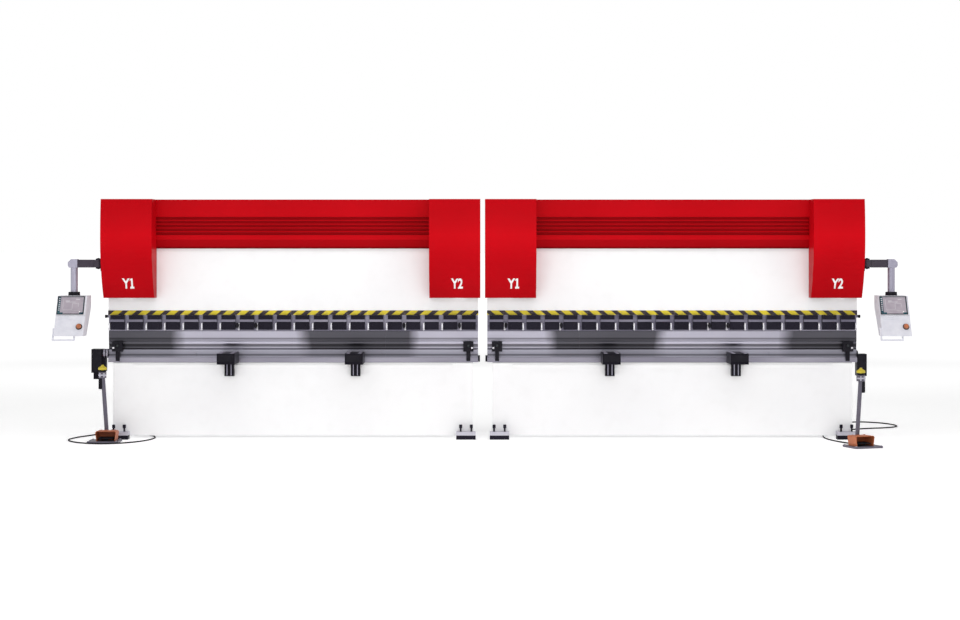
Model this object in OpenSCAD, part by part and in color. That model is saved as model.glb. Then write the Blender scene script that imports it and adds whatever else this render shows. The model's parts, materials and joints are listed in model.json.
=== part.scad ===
// Tandem press brake: two mirrored hydraulic machines side by side on one floor.
// Sizes in millimetres. X runs along the bending line, Y from the operator to the rear, Z up.
// The origin lies on the floor, on the plane midway between the two machines.

/* [Machine] */
// Length of the punch and of the die on each machine
tool_len = 4000; // [3000:100:5000]
// Gap between the covers of the two machines
tandem_gap = 50; // [20:5:120]
// How far the covers reach past the tools at each end
cover_over = 25; // [20:1:50]
// Height over the covers
machine_h = 2585; // [2450:5:3200]
// Height of the die rail's top above the floor
table_h = 878; // [760:1:960]
// Travel of the ram
stroke = 175; // [100:5:240]
// Depth of the throat behind the tools
throat = 400; // [300:5:480]

/* [Frame and ram] */
// Thickness of a side frame
frame_t = 80; // [50:1:110]
// Distance from the covers' ends to a side frame's middle plane
frame_in = 225; // [200:1:260]
// Rear face of the side frames
frame_rear = 790; // [700:5:900]
// Thickness of the ram plate
ram_t = 80; // [60:1:96]
// Thickness of the bed plate
bed_t = 100; // [70:1:110]
// Distance from the covers' ends to the bed's ends
bed_in = 80; // [60:1:95]
// Width of a ram guide rail
guide_w = 70; // [50:1:90]

/* [Hydraulics] */
// Radius of a cylinder's outside
cyl_r = 130; // [118:1:145]
// Radius of a cylinder's bore
bore_r = 100; // [80:1:105]
// Radius of a piston rod
rod_r = 60; // [45:1:75]
// Height of a piston
piston_h = 100; // [60:1:120]

/* [Tools] */
// Number of tool clamps on each ram
clamp_n = 20; // [10:1:24]
// Width of one tool clamp
clamp_w = 150; // [100:1:160]
// Height of the clamp row under the ram
clamp_h = 173; // [160:1:210]
// Height of the punch below the clamps
punch_h = 209; // [180:1:250]
// Height of the die above its rail
die_h = 84; // [70:1:110]
// Number of pieces that the punch and the die are made of
tool_pieces = 4; // [1:1:8]
// Height of the die rail
die_rail_h = 52; // [40:1:70]

/* [Covers] */
// Width of a cylinder cover
cover_w = 548; // [440:1:620]
// Height of the cylinder covers' lower edge above the floor
cover_z = 1525; // [1450:5:1700]
// How far a cylinder cover stands out in front of the ram
cover_out = 330; // [290:5:400]
// Thickness of the cover sheet
sheet_t = 4; // [3:0.5:6]
// Height of the cover between the cylinders
beam_cover_h = 529; // [450:1:620]

/* [Supports and gauge] */
// Width of a sheet support's head
support_w = 190; // [120:1:240]
// Length of a sheet support's head
support_len = 355; // [250:5:500]
// Distance from the machine's middle to each sheet support
support_x = 680; // [500:10:900]
// Free travel of the back gauge away from the tools
gauge_back = 280; // [150:5:290]

/* [Stations] */
// Height of the pendant arm
pendant_h = 1895; // [1700:5:2100]
// Distance from the covers' ends to the pendant tube
pendant_out = 305; // [285:1:400]
// Width of the pendant housing
pendant_w = 315; // [260:1:340]
// Height of the pole stop's collar
pole_h = 745; // [600:5:900]
// Radius of the pedal cables
cable_r = 7.5; // [5:0.5:9]

/* [Hidden] */
$fn = 64;
slip = 0.3;       // gap between sliding faces
run = 0.05;       // radial clearance of a pin or rod in its bore
tool_y = -100;    // plane of the punch's tip
pad_h = 45;
foot_h = 83;
foot_w = 210;
foot_d = 104;
front_bolts = 115;              // distance between a front foot's two bolts
rear_bolts = frame_t + 50;      // the frame stands between a rear foot's bolts
bed_z = 35;
apron_t = 20;
rail_half = 60;

x0 = tandem_gap / 2;
x1 = x0 + tool_len + 2 * cover_over;
xm = (x0 + x1) / 2;
tool_x0 = x0 + cover_over;
tool_x1 = x1 - cover_over;
frame_x = [x0 + frame_in, x1 - frame_in];

bed_top = table_h - die_rail_h;
bed_front = tool_y - bed_t / 2;
apron_y = bed_front - apron_t;
bed_rear = tool_y + bed_t / 2;
die_top = table_h + die_h;
tip_in = 8;       // how deep the closed punch stands in the die
punch_tip = die_top - tip_in;
punch_top = punch_tip + punch_h;
ram_z = punch_top + clamp_h;
ram_front = tool_y - ram_t / 2;
ram_rear = tool_y + ram_t / 2;
shoulder_z = ram_z + 224;
guide_y = tool_y + max(ram_t / 2 + 20, rod_r + 10);
ram_top = machine_h - beam_cover_h + 94;

head_half = 150;  // half width of a cylinder's square flanges
cyl_z = shoulder_z + stroke + 30;
gland_h = 60;
chamber_h = stroke + piston_h + 40;
cyl_top = cyl_z + gland_h + chamber_h + 40;
frame_front = tool_y + head_half;
jaw_z = ram_z + 64;

cover_top = machine_h;
cover_h = machine_h - cover_z;
cover_front = ram_front - cover_out;
wall_end = ram_front - 10;
beam_front = ram_front - 60;
frame_top = machine_h - sheet_t;
tank_y = [frame_front + 10, frame_front + 310];
tank_z = [machine_h - 425, machine_h - 125];

clamp_pitch = tool_len / clamp_n;
holder_front = tool_y - 20;
holder_rear = tool_y + 40;
tang_half = 7;
tang_h = 28;
lever_pin_r = 8;
lever_y = tool_y - 45;
lever_z = punch_top + 73;

support_rail_y = apron_y - 25;
support_rail_z = [bed_top - 66, bed_top - 26];

gauge_x = 650;    // gauge rails' distance from the frames
gauge_y = 300;
gauge_rail_z = [bed_top - 86, bed_top - 46];
gauge_beam_z = [gauge_rail_z[1] + 42, gauge_rail_z[1] + 122];
finger_x = 700;

cabinet_x = [x1 - 625, x1 - 25];
cabinet_y = [frame_rear, frame_rear + 375];
cabinet_z = [100, 1900];
cabinet_wall = 8;
door_t = 24.7;
hinge_at = [cabinet_x[1] + 12, cabinet_y[1] + 13];
hinge_r = 9;
hinge_pin_r = 5;
hinge_zs = [350, 1580];
cable_gland = [cabinet_x[1], cabinet_y[0] + 160, 120];

arm_y = tool_y - 230;
arm_hinge_x = x1 + 45;
tube_x = x1 + pendant_out;
tube_r = 38;
arm_half = 40;
arm_pin_r = 12;
housing_top = 1552;
housing_h = 423;
housing_lean = 207;    // how much nearer the operator the panel's foot is
housing_slope = atan(housing_lean / housing_h);
flange_h = 38;
spigot_r = 25;
knob_at = [103, 110];  // across the panel, and up from its foot
knob_r = 27;
knob_stem_r = 11;

// Each pedal station: place on the floor and turn about Z
pedal_at = [[60 - x1, -532, 0], [x1 - 142, -1029, 0]];
pedal_turn = [0, 20];
pedal_base = [330, 275, 20];
hood_x = -30;
hood_w = [195, 219];
hood_h = 105;
hood_y = [-100, 70];
treadle_pin = [50, 46];
treadle_pin_r = 5;
treadle_half = 76;
pole_foot = [-8, 105];
pole_head = [42, 105];
pole_r = 22;
stop_r = 45;
stop_stem_r = 12;
gland_at = [40, 12];   // across the base's rear edge, and height
gland_r = 11;
gland_len = 26;

// Route of each cable from the pedal's gland to the cabinet's gland; X is
// measured from the covers' outer end
left_route = [[20, -368.2, 12], [12, -290, 10.5], [-40, -120, 9], [15, 110, 8],
    [175, 230, 8], [375, 190, 8], [495, 10, 8], [525, -230, 8],
    [435, -500, 8], [245, -700, 8], [15, -745, 8], [-225, -610, 8],
    [-360, -365, 8], [-325, -100, 8], [-215, 130, 8], [-125, 400, 8],
    [-105, 620, 9], [-100, 790, 11], [-90, 885, 32], [-45, 945, 95], [1, 950, 120]];
right_route = [[-160.5, -861.2, 12], [-190, -780, 10.5], [-275, -600, 9], [-345, -380, 8],
    [-375, -150, 8], [-335, 150, 8], [-215, 450, 8], [15, 700, 8],
    [275, 880, 8], [525, 975, 8], [675, 1110, 8], [700, 1300, 8],
    [605, 1530, 8], [385, 1680, 8], [185, 1590, 8], [105, 1380, 8],
    [100, 1240, 9], [100, 1090, 11], [90, 1000, 32], [45, 955, 95], [-1, 950, 120]];
cable_rings = 40;

red = "firebrick";
white = "whitesmoke";
dark = "#24212f";
steel = "#9a96a6";

// Shared helpers

// Everything is drawn for the right machine; side(-1) gives the left one
module side(s) { mirror([s < 0 ? 1 : 0, 0, 0]) children(); }
module both() { for (s = [-1, 1]) side(s) children(); }
module block(lo, hi) { translate(lo) cube(hi - lo); }
// Extrudes a YZ outline from xa to xb
module along_x(xa, xb) {
    translate([xa, 0, 0]) rotate([90, 0, 90]) linear_extrude(xb - xa) children();
}
// Extrudes an XZ outline from ya to yb
module along_y(ya, yb) {
    translate([0, yb, 0]) rotate([90, 0, 0]) linear_extrude(yb - ya) children();
}
module rod_x(r, xa, xb, y, z) { translate([xa, y, z]) rotate([0, 90, 0]) cylinder(r = r, h = xb - xa); }
module rod_y(r, x, ya, yb, z) { translate([x, ya, z]) rotate([-90, 0, 0]) cylinder(r = r, h = yb - ya); }
module rod_z(r, x, y, za, zb) { translate([x, y, za]) cylinder(r = r, h = zb - za); }

// Points of an arc about c from angle a0 to a1
function arc(c, r, a0, a1, n = 8) =
    [for (i = [0:n]) let (a = a0 + (a1 - a0) * i / n) c + r * [cos(a), sin(a)]];

// Structure

// C-shaped side plates, with the throat open to the front
module side_frames() {
    r = 110;
    deep = bed_rear + throat;
    low = bed_top - 26;
    outline = concat(
        [[bed_rear, foot_h], [bed_rear, low]],
        arc([deep - r, low + r], r, -90, 0),
        arc([deep - r, jaw_z - r], r, 0, 90),
        [[frame_front, jaw_z], [frame_front, frame_top], [frame_front + 300, frame_top],
         [frame_rear, frame_top - 680], [frame_rear, foot_h]]);
    color(white) both() for (x = frame_x)
        along_x(x - frame_t / 2, x + frame_t / 2) polygon(outline);
}

// Bed plate with its front apron
module beds() {
    color(white) both() {
        block([x0 + bed_in, bed_front, bed_z], [x1 - bed_in, bed_rear, bed_top]);
        block([x0 + bed_in, apron_y, bed_z], [x1 - bed_in, bed_front, bed_top - 8]);
    }
}

// T-shaped ram plate: the cylinders push on its shoulders
module ram(s) {
    top_in = frame_in + head_half + 30;
    outline = [[tool_x0, ram_z], [tool_x1, ram_z], [tool_x1, shoulder_z],
        [x1 - top_in, shoulder_z], [x1 - top_in, ram_top],
        [x0 + top_in, ram_top], [x0 + top_in, shoulder_z], [tool_x0, shoulder_z]];
    seat = rod_r + 10;
    color(white) side(s) {
        along_y(ram_front, ram_rear) polygon(outline);
        for (x = frame_x) {
            block([x - seat, tool_y - seat, shoulder_z - 30], [x + seat, ram_rear, shoulder_z]);
            guide_shoe(x);
        }
    }
}

// Shoe on the ram's back that embraces the guide rail
module guide_shoe(x) {
    w = guide_w / 2 + slip;
    face = guide_y - slip;
    block([x - w - 30, ram_rear, jaw_z], [x + w + 30, face, shoulder_z]);
    for (a = [x - w - 30, x + w])
        block([a, ram_rear, jaw_z], [a + 30, ram_rear + 80, shoulder_z]);
}

// Guide rails on the front edges of the side frames
module ram_guides() {
    color(steel) both() for (x = frame_x)
        block([x - guide_w / 2, guide_y, jaw_z],
              [x + guide_w / 2, frame_front, cyl_z - 10]);
}

// Hydraulics

module cylinders() {
    color(dark) both() for (x = frame_x) difference() {
        union() {
            rod_z(cyl_r, x, tool_y, cyl_z, cyl_top);
            block([x - head_half, tool_y - head_half, cyl_z],
                  [x + head_half, tool_y + head_half, cyl_z + 70]);
            block([x - head_half, tool_y - head_half, cyl_top - 80],
                  [x + head_half, tool_y + head_half, cyl_top]);
        }
        rod_z(rod_r + run, x, tool_y, cyl_z - 1, cyl_z + gland_h + 1);
        rod_z(bore_r + run, x, tool_y, cyl_z + gland_h, cyl_z + gland_h + chamber_h);
    }
}

module piston_rods(s) {
    piston_z = cyl_z + gland_h + 20;
    color("silver") side(s) for (x = frame_x) {
        rod_z(rod_r, x, tool_y, shoulder_z, piston_z + 1);
        rod_z(bore_r, x, tool_y, piston_z, piston_z + piston_h);
    }
}

// Proportional valve block on each cylinder's head, with its two solenoids
module valve_blocks() {
    front = tool_y - head_half - 110;
    back = tool_y - head_half;
    color(steel) both() for (x = frame_x) {
        block([x - 70, front, cyl_top - 100], [x + 70, back, cyl_top + 30]);
        rod_x(22, x - 130, x + 130, front + 55, cyl_top - 30);
    }
}

// Oil tank between the side frames, with a lid
module oil_tanks() {
    xa = frame_x[0] + frame_t / 2;
    xb = frame_x[1] - frame_t / 2;
    t = 6;
    color(white) both() {
        difference() {
            block([xa, tank_y[0], tank_z[0]], [xb, tank_y[1], tank_z[1]]);
            block([xa + t, tank_y[0] + t, tank_z[0] + t], [xb - t, tank_y[1] - t, tank_z[1] + 1]);
        }
        block([xa, tank_y[0], tank_z[1]], [xb, tank_y[1], tank_z[1] + 8]);
    }
}

// Electric motor and pump on the tank's rear face
module pump_motors() {
    y = tank_y[1] + 140;
    z = (tank_z[0] + tank_z[1]) / 2;
    color("#5c6470") both() {
        block([xm - 160, tank_y[1], z - 90], [xm + 160, tank_y[1] + 14, z + 90]);
        block([xm - 120, tank_y[1] + 14, z - 50], [xm + 120, y - 60, z + 50]);
        rod_x(110, xm - 210, xm + 210, y, z);
        rod_x(45, xm + 210, xm + 270, y, z);
        rod_x(70, xm + 270, xm + 400, y, z);
        rod_x(118, xm - 250, xm - 210, y, z);
    }
}

// Covers

// The front stands out most near the top and falls back towards the bottom
function cover_curve(z) =
    let (crown = cover_z + 0.62 * cover_h)
    z < crown ? cover_front + 180 * pow((crown - z) / (crown - cover_z), 2.2)
              : cover_front + 30 * pow((z - crown) / (cover_top - crown), 2);

module cover_outline(inset, top, bottom, rear) {
    steps = 18;
    front = [for (i = [0:steps]) let (z = cover_z + (top - cover_z) * i / steps)
        [cover_curve(z) + inset, z]];
    first = front[0];
    polygon(concat([[rear, bottom], [first[0], bottom]], front, [[rear, top]]));
}

// One sheet shell, open below and behind; it sits on the side frame's top.
// The wall beside the beam cover ends in front of the ram.
module cylinder_cover() {
    rear = frame_front;
    difference() {
        along_x(x0, x0 + cover_w) cover_outline(0, cover_top, cover_z, rear);
        along_x(x0 + sheet_t, x0 + cover_w - sheet_t)
            cover_outline(sheet_t, cover_top - sheet_t, cover_z - 1, rear + 1);
        block([x0 + sheet_t + 1, wall_end, cover_z - 1],
              [x0 + cover_w + 1, rear + 1, cover_top - sheet_t]);
    }
    block([x0, rear, cover_top - sheet_t], [x0 + cover_w, rear + 200, cover_top]);
}

module cylinder_covers(s) {
    color(red) side(s) {
        cylinder_cover();
        translate([2 * xm, 0, 0]) mirror([1, 0, 0]) cylinder_cover();
    }
}

// Panel between the cylinder covers, with five louvre grooves and a sloping foot
module beam_covers() {
    foot = cover_top - beam_cover_h;
    back = beam_front + 50;
    groove_z = cover_top - 190;
    pitch = 41;
    grooves = [for (i = [0:4]) let (z = groove_z - i * pitch)
        each [[beam_front, z], [beam_front + 18, z - 4], [beam_front + 18, z - 22],
              [beam_front, z - 28]]];
    outline = concat([[beam_front, cover_top]], grooves,
        [[beam_front, foot + 92], [beam_front + 35, foot], [back, foot],
         [back, cover_top - sheet_t], [tank_y[1], cover_top - sheet_t], [tank_y[1], cover_top]]);
    color(red) both() along_x(x0 + cover_w, x1 - cover_w) polygon(outline);
}

// Tools

// Steel bar under the ram, with a raised strip at each clamp and a slot for the punch
module tool_holder(s) {
    slot = tang_half + slip;
    color(steel) side(s) difference() {
        union() {
            block([tool_x0, holder_front, punch_top], [tool_x1, holder_rear, ram_z]);
            for (i = [0:clamp_n - 1]) clamp_at(i)
                block([0, tool_y - 64, punch_top + 100], [clamp_w, holder_front, punch_top + 126]);
            rod_x(14, tool_x1, tool_x1 + 38, tool_y, ram_z - 15);
        }
        block([tool_x0 - 1, tool_y - slot, punch_top - 1],
              [tool_x1 + 1, tool_y + slot, punch_top + tang_h + 2]);
    }
}

module clamp_at(i) {
    translate([tool_x0 + (i + 0.5) * clamp_pitch - clamp_w / 2, 0, 0]) children();
}

// Upper and lower clamp blocks; the lower one carries the lever's pin
module clamps(s) {
    color(dark) side(s) for (i = [0:clamp_n - 1]) clamp_at(i) {
        block([0, tool_y - 70, punch_top + 126], [clamp_w, holder_front, ram_z]);
        block([0, tool_y - 62, punch_top + 16], [clamp_w, holder_front, punch_top + 100]);
        rod_x(lever_pin_r, clamp_w, clamp_w + 24, lever_y, lever_z);
    }
}

// Clamp levers, all on one line along the ram
module clamp_levers(s) {
    color(steel) side(s) for (i = [0:clamp_n - 1]) clamp_at(i)
        translate([clamp_w + 6, lever_y, lever_z]) {
            difference() {
                rotate([90, 0, 90]) linear_extrude(14)
                    polygon(concat(arc([0, 0], 17, -10, 190), [[-22, -48], [-8, -52]]));
                rod_x(lever_pin_r + run, -1, 15, 0, 0);
            }
            translate([7, -17, -54]) sphere(r = 12);
        }
}

module punch(s) {
    t = punch_tip;
    outline = [[-24, punch_top], [-24, t + 102], [-17, t + 94], [-17, t + 84], [-22, t + 76],
        [-14, t + 50], [-12, t + 21], [-1, t], [1, t], [12, t + 21], [14, t + 50], [24, t + 76],
        [24, punch_top], [tang_half, punch_top], [tang_half, punch_top + tang_h],
        [-tang_half, punch_top + tang_h], [-tang_half, punch_top]];
    color(steel) side(s) tool_run() polygon([for (p = outline) p + [tool_y, 0]]);
}

// A YZ outline cut into the tool's pieces
module tool_run() {
    piece = tool_len / tool_pieces;
    for (i = [0:tool_pieces - 1])
        along_x(tool_x0 + i * piece + (i > 0 ? slip : 0), tool_x0 + (i + 1) * piece) children();
}

module dies() {
    outline = [[-30, table_h], [-30, die_top], [-12, die_top], [0, die_top - 14], [12, die_top],
        [30, die_top], [30, table_h], [6, table_h], [6, table_h - 20], [-6, table_h - 20],
        [-6, table_h]];
    color(steel) both() difference() {
        tool_run() polygon([for (p = outline) p + [tool_y, 0]]);
        for (x = [tool_x0 + tool_len / 4 + 50, tool_x1 - tool_len / 4 + 50])
            rod_y(8, x, tool_y - 31, tool_y - 18, table_h + die_h / 2);
    }
}

// Grooved rail that carries the die on the bed
module die_rails() {
    color(steel) both() difference() {
        block([tool_x0, tool_y - rail_half, bed_top], [tool_x1, tool_y + rail_half, table_h]);
        block([tool_x0 - 1, tool_y - 6 - slip, table_h - 20.5],
              [tool_x1 + 1, tool_y + 6 + slip, table_h + 1]);
    }
}

// Crowning motors on the outer ends of the die rails; the right one hangs
// lower, close under its rail
module crowning_drives() {
    a = tool_x1;
    z = table_h + 42;
    color(dark) {
        side(-1) {
            rod_x(48, a, a + 66, tool_y, z);
            block([a + 29, tool_y - 40, z - 192], [a + 67, tool_y + 40, z - 40]);
            block([a + 66, tool_y - 60, z - 208], [a + 182, tool_y + 60, z + 48]);
            block([a + 67, tool_y - 48, z - 278], [a + 161, tool_y + 48, z - 208]);
        }
        rod_x(40, a, a + 14, tool_y, z - 8);
        block([a, tool_y - 60, z - 243], [a + 104, tool_y + 60, z - 5]);
        along_y(tool_y - 60, apron_y - 4)
            polygon([[a - 50, z - 228], [a + 1, z - 243], [a + 1, bed_top - 1],
                     [a - 16, bed_top - 1], [a - 50, z - 118]]);
    }
}

// Sender and receiver of the light guard at the die's ends
module light_guards() {
    box_z = die_top - 18;
    color(dark) both() for (x = [tool_x0 + 105, tool_x1 - 105]) {
        block([x - 21, tool_y - 80, table_h - 38], [x + 21, tool_y - rail_half, box_z]);
        block([x - 55, tool_y - 105, box_z], [x + 55, tool_y - 45, box_z + 108]);
    }
}

// Sheet supports

module support_rails() {
    color(white) both()
        block([x0 + 300, support_rail_y, support_rail_z[0]],
              [x1 - 300, apron_y, support_rail_z[1]]);
}

// Head level with the die, on a carriage that hooks over the rail
module sheet_support(s, x) {
    top = die_top - 22;
    low = table_h - 53;
    half = support_w / 2;
    back = tool_y - 75;
    front = back - support_len;
    color(dark) side(s) translate([x, 0, 0]) difference() {
        union() {
            difference() {
                block([-half, front, low], [half, back, top]);
                block([-half + 6, front + 6, low - 1], [half - 6, back - 6, top - 8]);
            }
            block([-50, apron_y - 80, bed_top - 144], [50, apron_y - slip, top - 4]);
        }
        block([-51, support_rail_y - slip, support_rail_z[0] - slip],
              [51, apron_y + 1, support_rail_z[1] + slip]);
        block([-51, back, low - 1], [51, apron_y + 10, top + 1]);
    }
}

// Back gauge

module gauge_rails() {
    color(steel) both() for (x = [frame_x[0] + gauge_x, frame_x[1] - gauge_x]) {
        block([x - 20, bed_rear, gauge_rail_z[0]], [x + 20, gauge_y + gauge_back + 70, gauge_rail_z[1]]);
        block([x - 45, bed_rear, gauge_rail_z[0] - 160], [x + 45, bed_rear + 20, gauge_rail_z[0]]);
    }
}

module gauge_beam(s) {
    color("#7d8794") side(s) {
        block([frame_x[0] + gauge_x - 100, gauge_y - 30, gauge_beam_z[0]],
              [frame_x[1] - gauge_x + 100, gauge_y + 30, gauge_beam_z[1]]);
        for (x = [frame_x[0] + gauge_x, frame_x[1] - gauge_x]) difference() {
            block([x - 45, gauge_y - 60, gauge_rail_z[0] + 10], [x + 45, gauge_y + 60, gauge_beam_z[0]]);
            block([x - 20 - slip, gauge_y - 61, gauge_rail_z[0]],
                  [x + 20 + slip, gauge_y + 61, gauge_rail_z[1] + slip]);
        }
    }
}

// Stop finger on a carriage that straddles the beam
module gauge_finger(s, x) {
    top = gauge_beam_z[1] + 23;
    color("#2f6f9f") side(s) translate([x, 0, 0]) {
        difference() {
            block([-40, gauge_y - 45, gauge_beam_z[0] + 28], [40, gauge_y + 45, top]);
            block([-41, gauge_y - 30 - slip, gauge_beam_z[0] + 27],
                  [41, gauge_y + 30 + slip, gauge_beam_z[1] + slip]);
        }
        block([-20, gauge_y - 200, top], [20, gauge_y + 30, die_top + 2]);
        block([-20, gauge_y - 260, die_top + 2], [20, gauge_y - 180, die_top + 23]);
    }
}

// Electric cabinets

module cabinets() {
    w = cabinet_wall;
    color(white) both() {
        difference() {
            block([cabinet_x[0], cabinet_y[0], cabinet_z[0]], [cabinet_x[1], cabinet_y[1], cabinet_z[1]]);
            block([cabinet_x[0] + w, cabinet_y[0] + w, cabinet_z[0] + w],
                  [cabinet_x[1] - w, cabinet_y[1] + 1, cabinet_z[1] - w]);
        }
        block([cabinet_x[0] + 20, cabinet_y[0] + 20, 0], [cabinet_x[1] - 20, cabinet_y[1] - 20, cabinet_z[0]]);
        rod_x(gland_r + 3, cable_gland[0], cable_gland[0] + 24, cable_gland[1], cable_gland[2]);
    }
}

// Fixed leaf, lower knuckle and pin of each door hinge
module door_hinges() {
    color(steel) both() for (z = hinge_zs) {
        block([cabinet_x[1], cabinet_y[1] - 70, z], [cabinet_x[1] + 5, cabinet_y[1] + 7, z + 34]);
        block([cabinet_x[1], hinge_at[1] - 8, z], [hinge_at[0], hinge_at[1] - 3, z + 34]);
        rod_z(hinge_r, hinge_at[0], hinge_at[1], z, z + 34);
        rod_z(hinge_pin_r, hinge_at[0], hinge_at[1], z + 33, z + 72);
    }
}

module cabinet_door(s) {
    back = cabinet_y[1] + slip + door_t;
    color(white) side(s) {
        block([cabinet_x[0], cabinet_y[1] + slip, cabinet_z[0]], [cabinet_x[1], back, cabinet_z[1]]);
        block([cabinet_x[0] + 30, back, 950], [cabinet_x[0] + 52, back + 20, 1090]);
        for (z = hinge_zs) difference() {
            union() {
                rod_z(hinge_r, hinge_at[0], hinge_at[1], z + 34 + slip, z + 70);
                block([cabinet_x[1] - 30, back, z + 34 + slip], [hinge_at[0], back + 4, z + 70]);
                block([hinge_at[0] - 2, hinge_at[1] + 6, z + 34 + slip],
                      [hinge_at[0] + 6, back + 4, z + 70]);
            }
            rod_z(hinge_pin_r + run, hinge_at[0], hinge_at[1], z + 30, z + 75);
        }
    }
}

// Feet

// Children are drawn about a foot's front edge, with $space between its bolts
module foot_places() {
    for (x = [x0 + 50 + foot_w / 2, x1 - 50 - foot_w / 2]) let ($space = front_bolts)
        translate([x, apron_y - foot_d, 0]) children();
    for (x = frame_x) let ($space = rear_bolts)
        translate([x, frame_rear - foot_d - 20, 0]) children();
}

// Plates that carry the machine; the front ones are welded to the apron
module feet() {
    color("#c9c6d2") both() foot_places() difference() {
        block([-foot_w / 2, 0, pad_h], [foot_w / 2, foot_d, foot_h]);
        for (side = [-1, 1]) rod_z(10 + slip, side * $space / 2, 45, pad_h - 1, foot_h + 1);
    }
}

// Two levelling bolts on their common bearing pad
module levelling_bolts() {
    color(dark) both() foot_places() {
        block([-foot_w / 2, 4, 0], [foot_w / 2, foot_d - 4, pad_h]);
        for (side = [-1, 1]) {
            rod_z(10, side * $space / 2, 45, pad_h - 1, foot_h + 76);
            rod_z(17, side * $space / 2, 45, foot_h + 38, foot_h + 75);
        }
    }
}

// Control pendants

// Hinge bracket on the outer cover's side wall
module pendant_brackets() {
    ear = arm_half + slip;
    color(dark) both() {
        block([x1, arm_y - 60, pendant_h - 80], [x1 + 12, arm_y + 60, pendant_h + 80]);
        for (z = [pendant_h - ear - 14, pendant_h + ear])
            block([x1 + 11, arm_y - 30, z], [arm_hinge_x + 24, arm_y + 30, z + 14]);
        rod_z(arm_pin_r, arm_hinge_x, arm_y, pendant_h - ear - 20, pendant_h + ear + 20);
    }
}

// Arm, elbow, drop tube and flange turn together about the bracket's pin
module pendant_arm(s) {
    in = tube_x - tube_r - 2;
    out = tube_x + 62;
    top = pendant_h + arm_half + 8;
    low = pendant_h - arm_half - 4;
    color("#8d889c") side(s) difference() {
        union() {
            rod_z(28, arm_hinge_x, arm_y, pendant_h - arm_half, pendant_h + arm_half);
            block([arm_hinge_x, arm_y - 28, pendant_h - arm_half], [in + 1, arm_y + 28, pendant_h + arm_half]);
            along_y(arm_y - 40, arm_y + 40)
                polygon([[in, low], [out - 14, low], [out, low + 22], [out, top - 34],
                         [out - 34, top], [in, top]]);
            rod_z(tube_r, tube_x, arm_y, housing_top + flange_h - 1, low + 1);
            rod_z(60, tube_x, arm_y, housing_top + slip, housing_top + flange_h);
            rod_z(spigot_r, tube_x, arm_y, housing_top - 30, housing_top + 1);
        }
        rod_z(arm_pin_r + run, arm_hinge_x, arm_y, pendant_h - 60, pendant_h + 60);
    }
}

module at_tube(s) { translate([s * tube_x, arm_y, 0]) children(); }

// Moves into the panel's own frame: origin at the middle of its foot, X across,
// Y up the panel and Z out of it
module on_panel() {
    foot = -90 - housing_lean;
    translate([0, foot, housing_top - housing_h])
        rotate([90 - housing_slope, 0, 0]) children();
}

// Wedge-shaped housing with its side handle
module pendant_housing(s) {
    foot_y = -90 - housing_lean;
    foot_z = housing_top - housing_h;
    half = pendant_w / 2;
    color("gainsboro") at_tube(s) difference() {
        union() {
            along_x(-half, half) polygon([[-90, housing_top], [110, housing_top],
                [110, housing_top - 130], [foot_y + 170, foot_z], [foot_y, foot_z]]);
            on_panel() panel_handle(half);
        }
        rod_z(spigot_r + run, 0, 0, housing_top - 31, housing_top + 1);
        on_panel() translate([knob_at[0], knob_at[1], -40]) cylinder(r = knob_stem_r + run, h = 60);
    }
}

// Bent bar: down past the panel's foot on the left, across, and back up
module panel_handle(half) {
    r = 11;
    drop = -36;
    left = -half - 8;
    right = left + 226;
    translate([left, drop, -20]) rotate([-90, 0, 0]) cylinder(r = r, h = 136);
    translate([left - r, 60, -31]) cube([24, 40, 22]);
    translate([left, drop, -20]) rotate([0, 90, 0]) cylinder(r = r, h = right - left);
    translate([right, drop, -20]) rotate([-90, 0, 0]) cylinder(r = r, h = 40);
    for (x = [left, right]) translate([x, drop, -20]) sphere(r = r);
}

// Stop button on the panel
module pendant_knob(s) {
    color("#b07862") at_tube(s) on_panel() translate([knob_at[0], knob_at[1], 0]) {
        translate([0, 0, 10]) cylinder(r = knob_r, h = 12);
        translate([0, 0, 22]) cylinder(r1 = knob_r, r2 = knob_r - 7, h = 6);
        translate([0, 0, -32]) cylinder(r = knob_stem_r, h = 43);
    }
}

// Pedal stations

// A station drawn for the right side, put in its own place
module station(s) {
    i = s < 0 ? 0 : 1;
    translate(pedal_at[i]) rotate([0, 0, pedal_turn[i]]) side(s) children();
}
module both_stations() { for (s = [-1, 1]) station(s) children(); }

// Floor plate with the treadle's pin and the cable's gland
module pedal_bases() {
    w = pedal_base[0] / 2;
    d = pedal_base[1] / 2;
    h = pedal_base[2];
    ear_x = treadle_half + 2;
    ear_t = 8;
    color("dimgray") both_stations() {
        linear_extrude(h)
            polygon([[-w + 14, -d], [w - 14, -d], [w, -d + 14], [w, d - 14], [w - 14, d],
                     [-w + 14, d], [-w, d - 14], [-w, -d + 14]]);
        for (x = [hood_x - ear_x - ear_t, hood_x + ear_x])
            block([x, treadle_pin[0] - 10, h - 1], [x + ear_t, treadle_pin[0] + 10, treadle_pin[1] + 9]);
        rod_x(treadle_pin_r, hood_x - ear_x - 1, hood_x + ear_x + 1, treadle_pin[0], treadle_pin[1]);
    }
    color(dark) both_stations()
        rod_y(gland_r, gland_at[0], d - 1, d + gland_len, gland_at[1]);
}

module pedal_hoods() {
    a = hood_w[0] / 2;
    b = hood_w[1] / 2;
    z = pedal_base[2];
    t = 4;
    color("chocolate") both_stations() translate([hood_x, 0, 0]) difference() {
        along_y(hood_y[0], hood_y[1])
            polygon([[-a, z], [a, z], [b, z + hood_h - 12], [b - 12, z + hood_h],
                     [-b + 12, z + hood_h], [-b, z + hood_h - 12]]);
        along_y(hood_y[0] - 1, hood_y[1] - t)
            polygon([[-a + t, z - 1], [a - t, z - 1], [b - t, z + hood_h - 14],
                     [b - 14, z + hood_h - t], [-b + 14, z + hood_h - t], [-b + t, z + hood_h - 14]]);
    }
}

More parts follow.
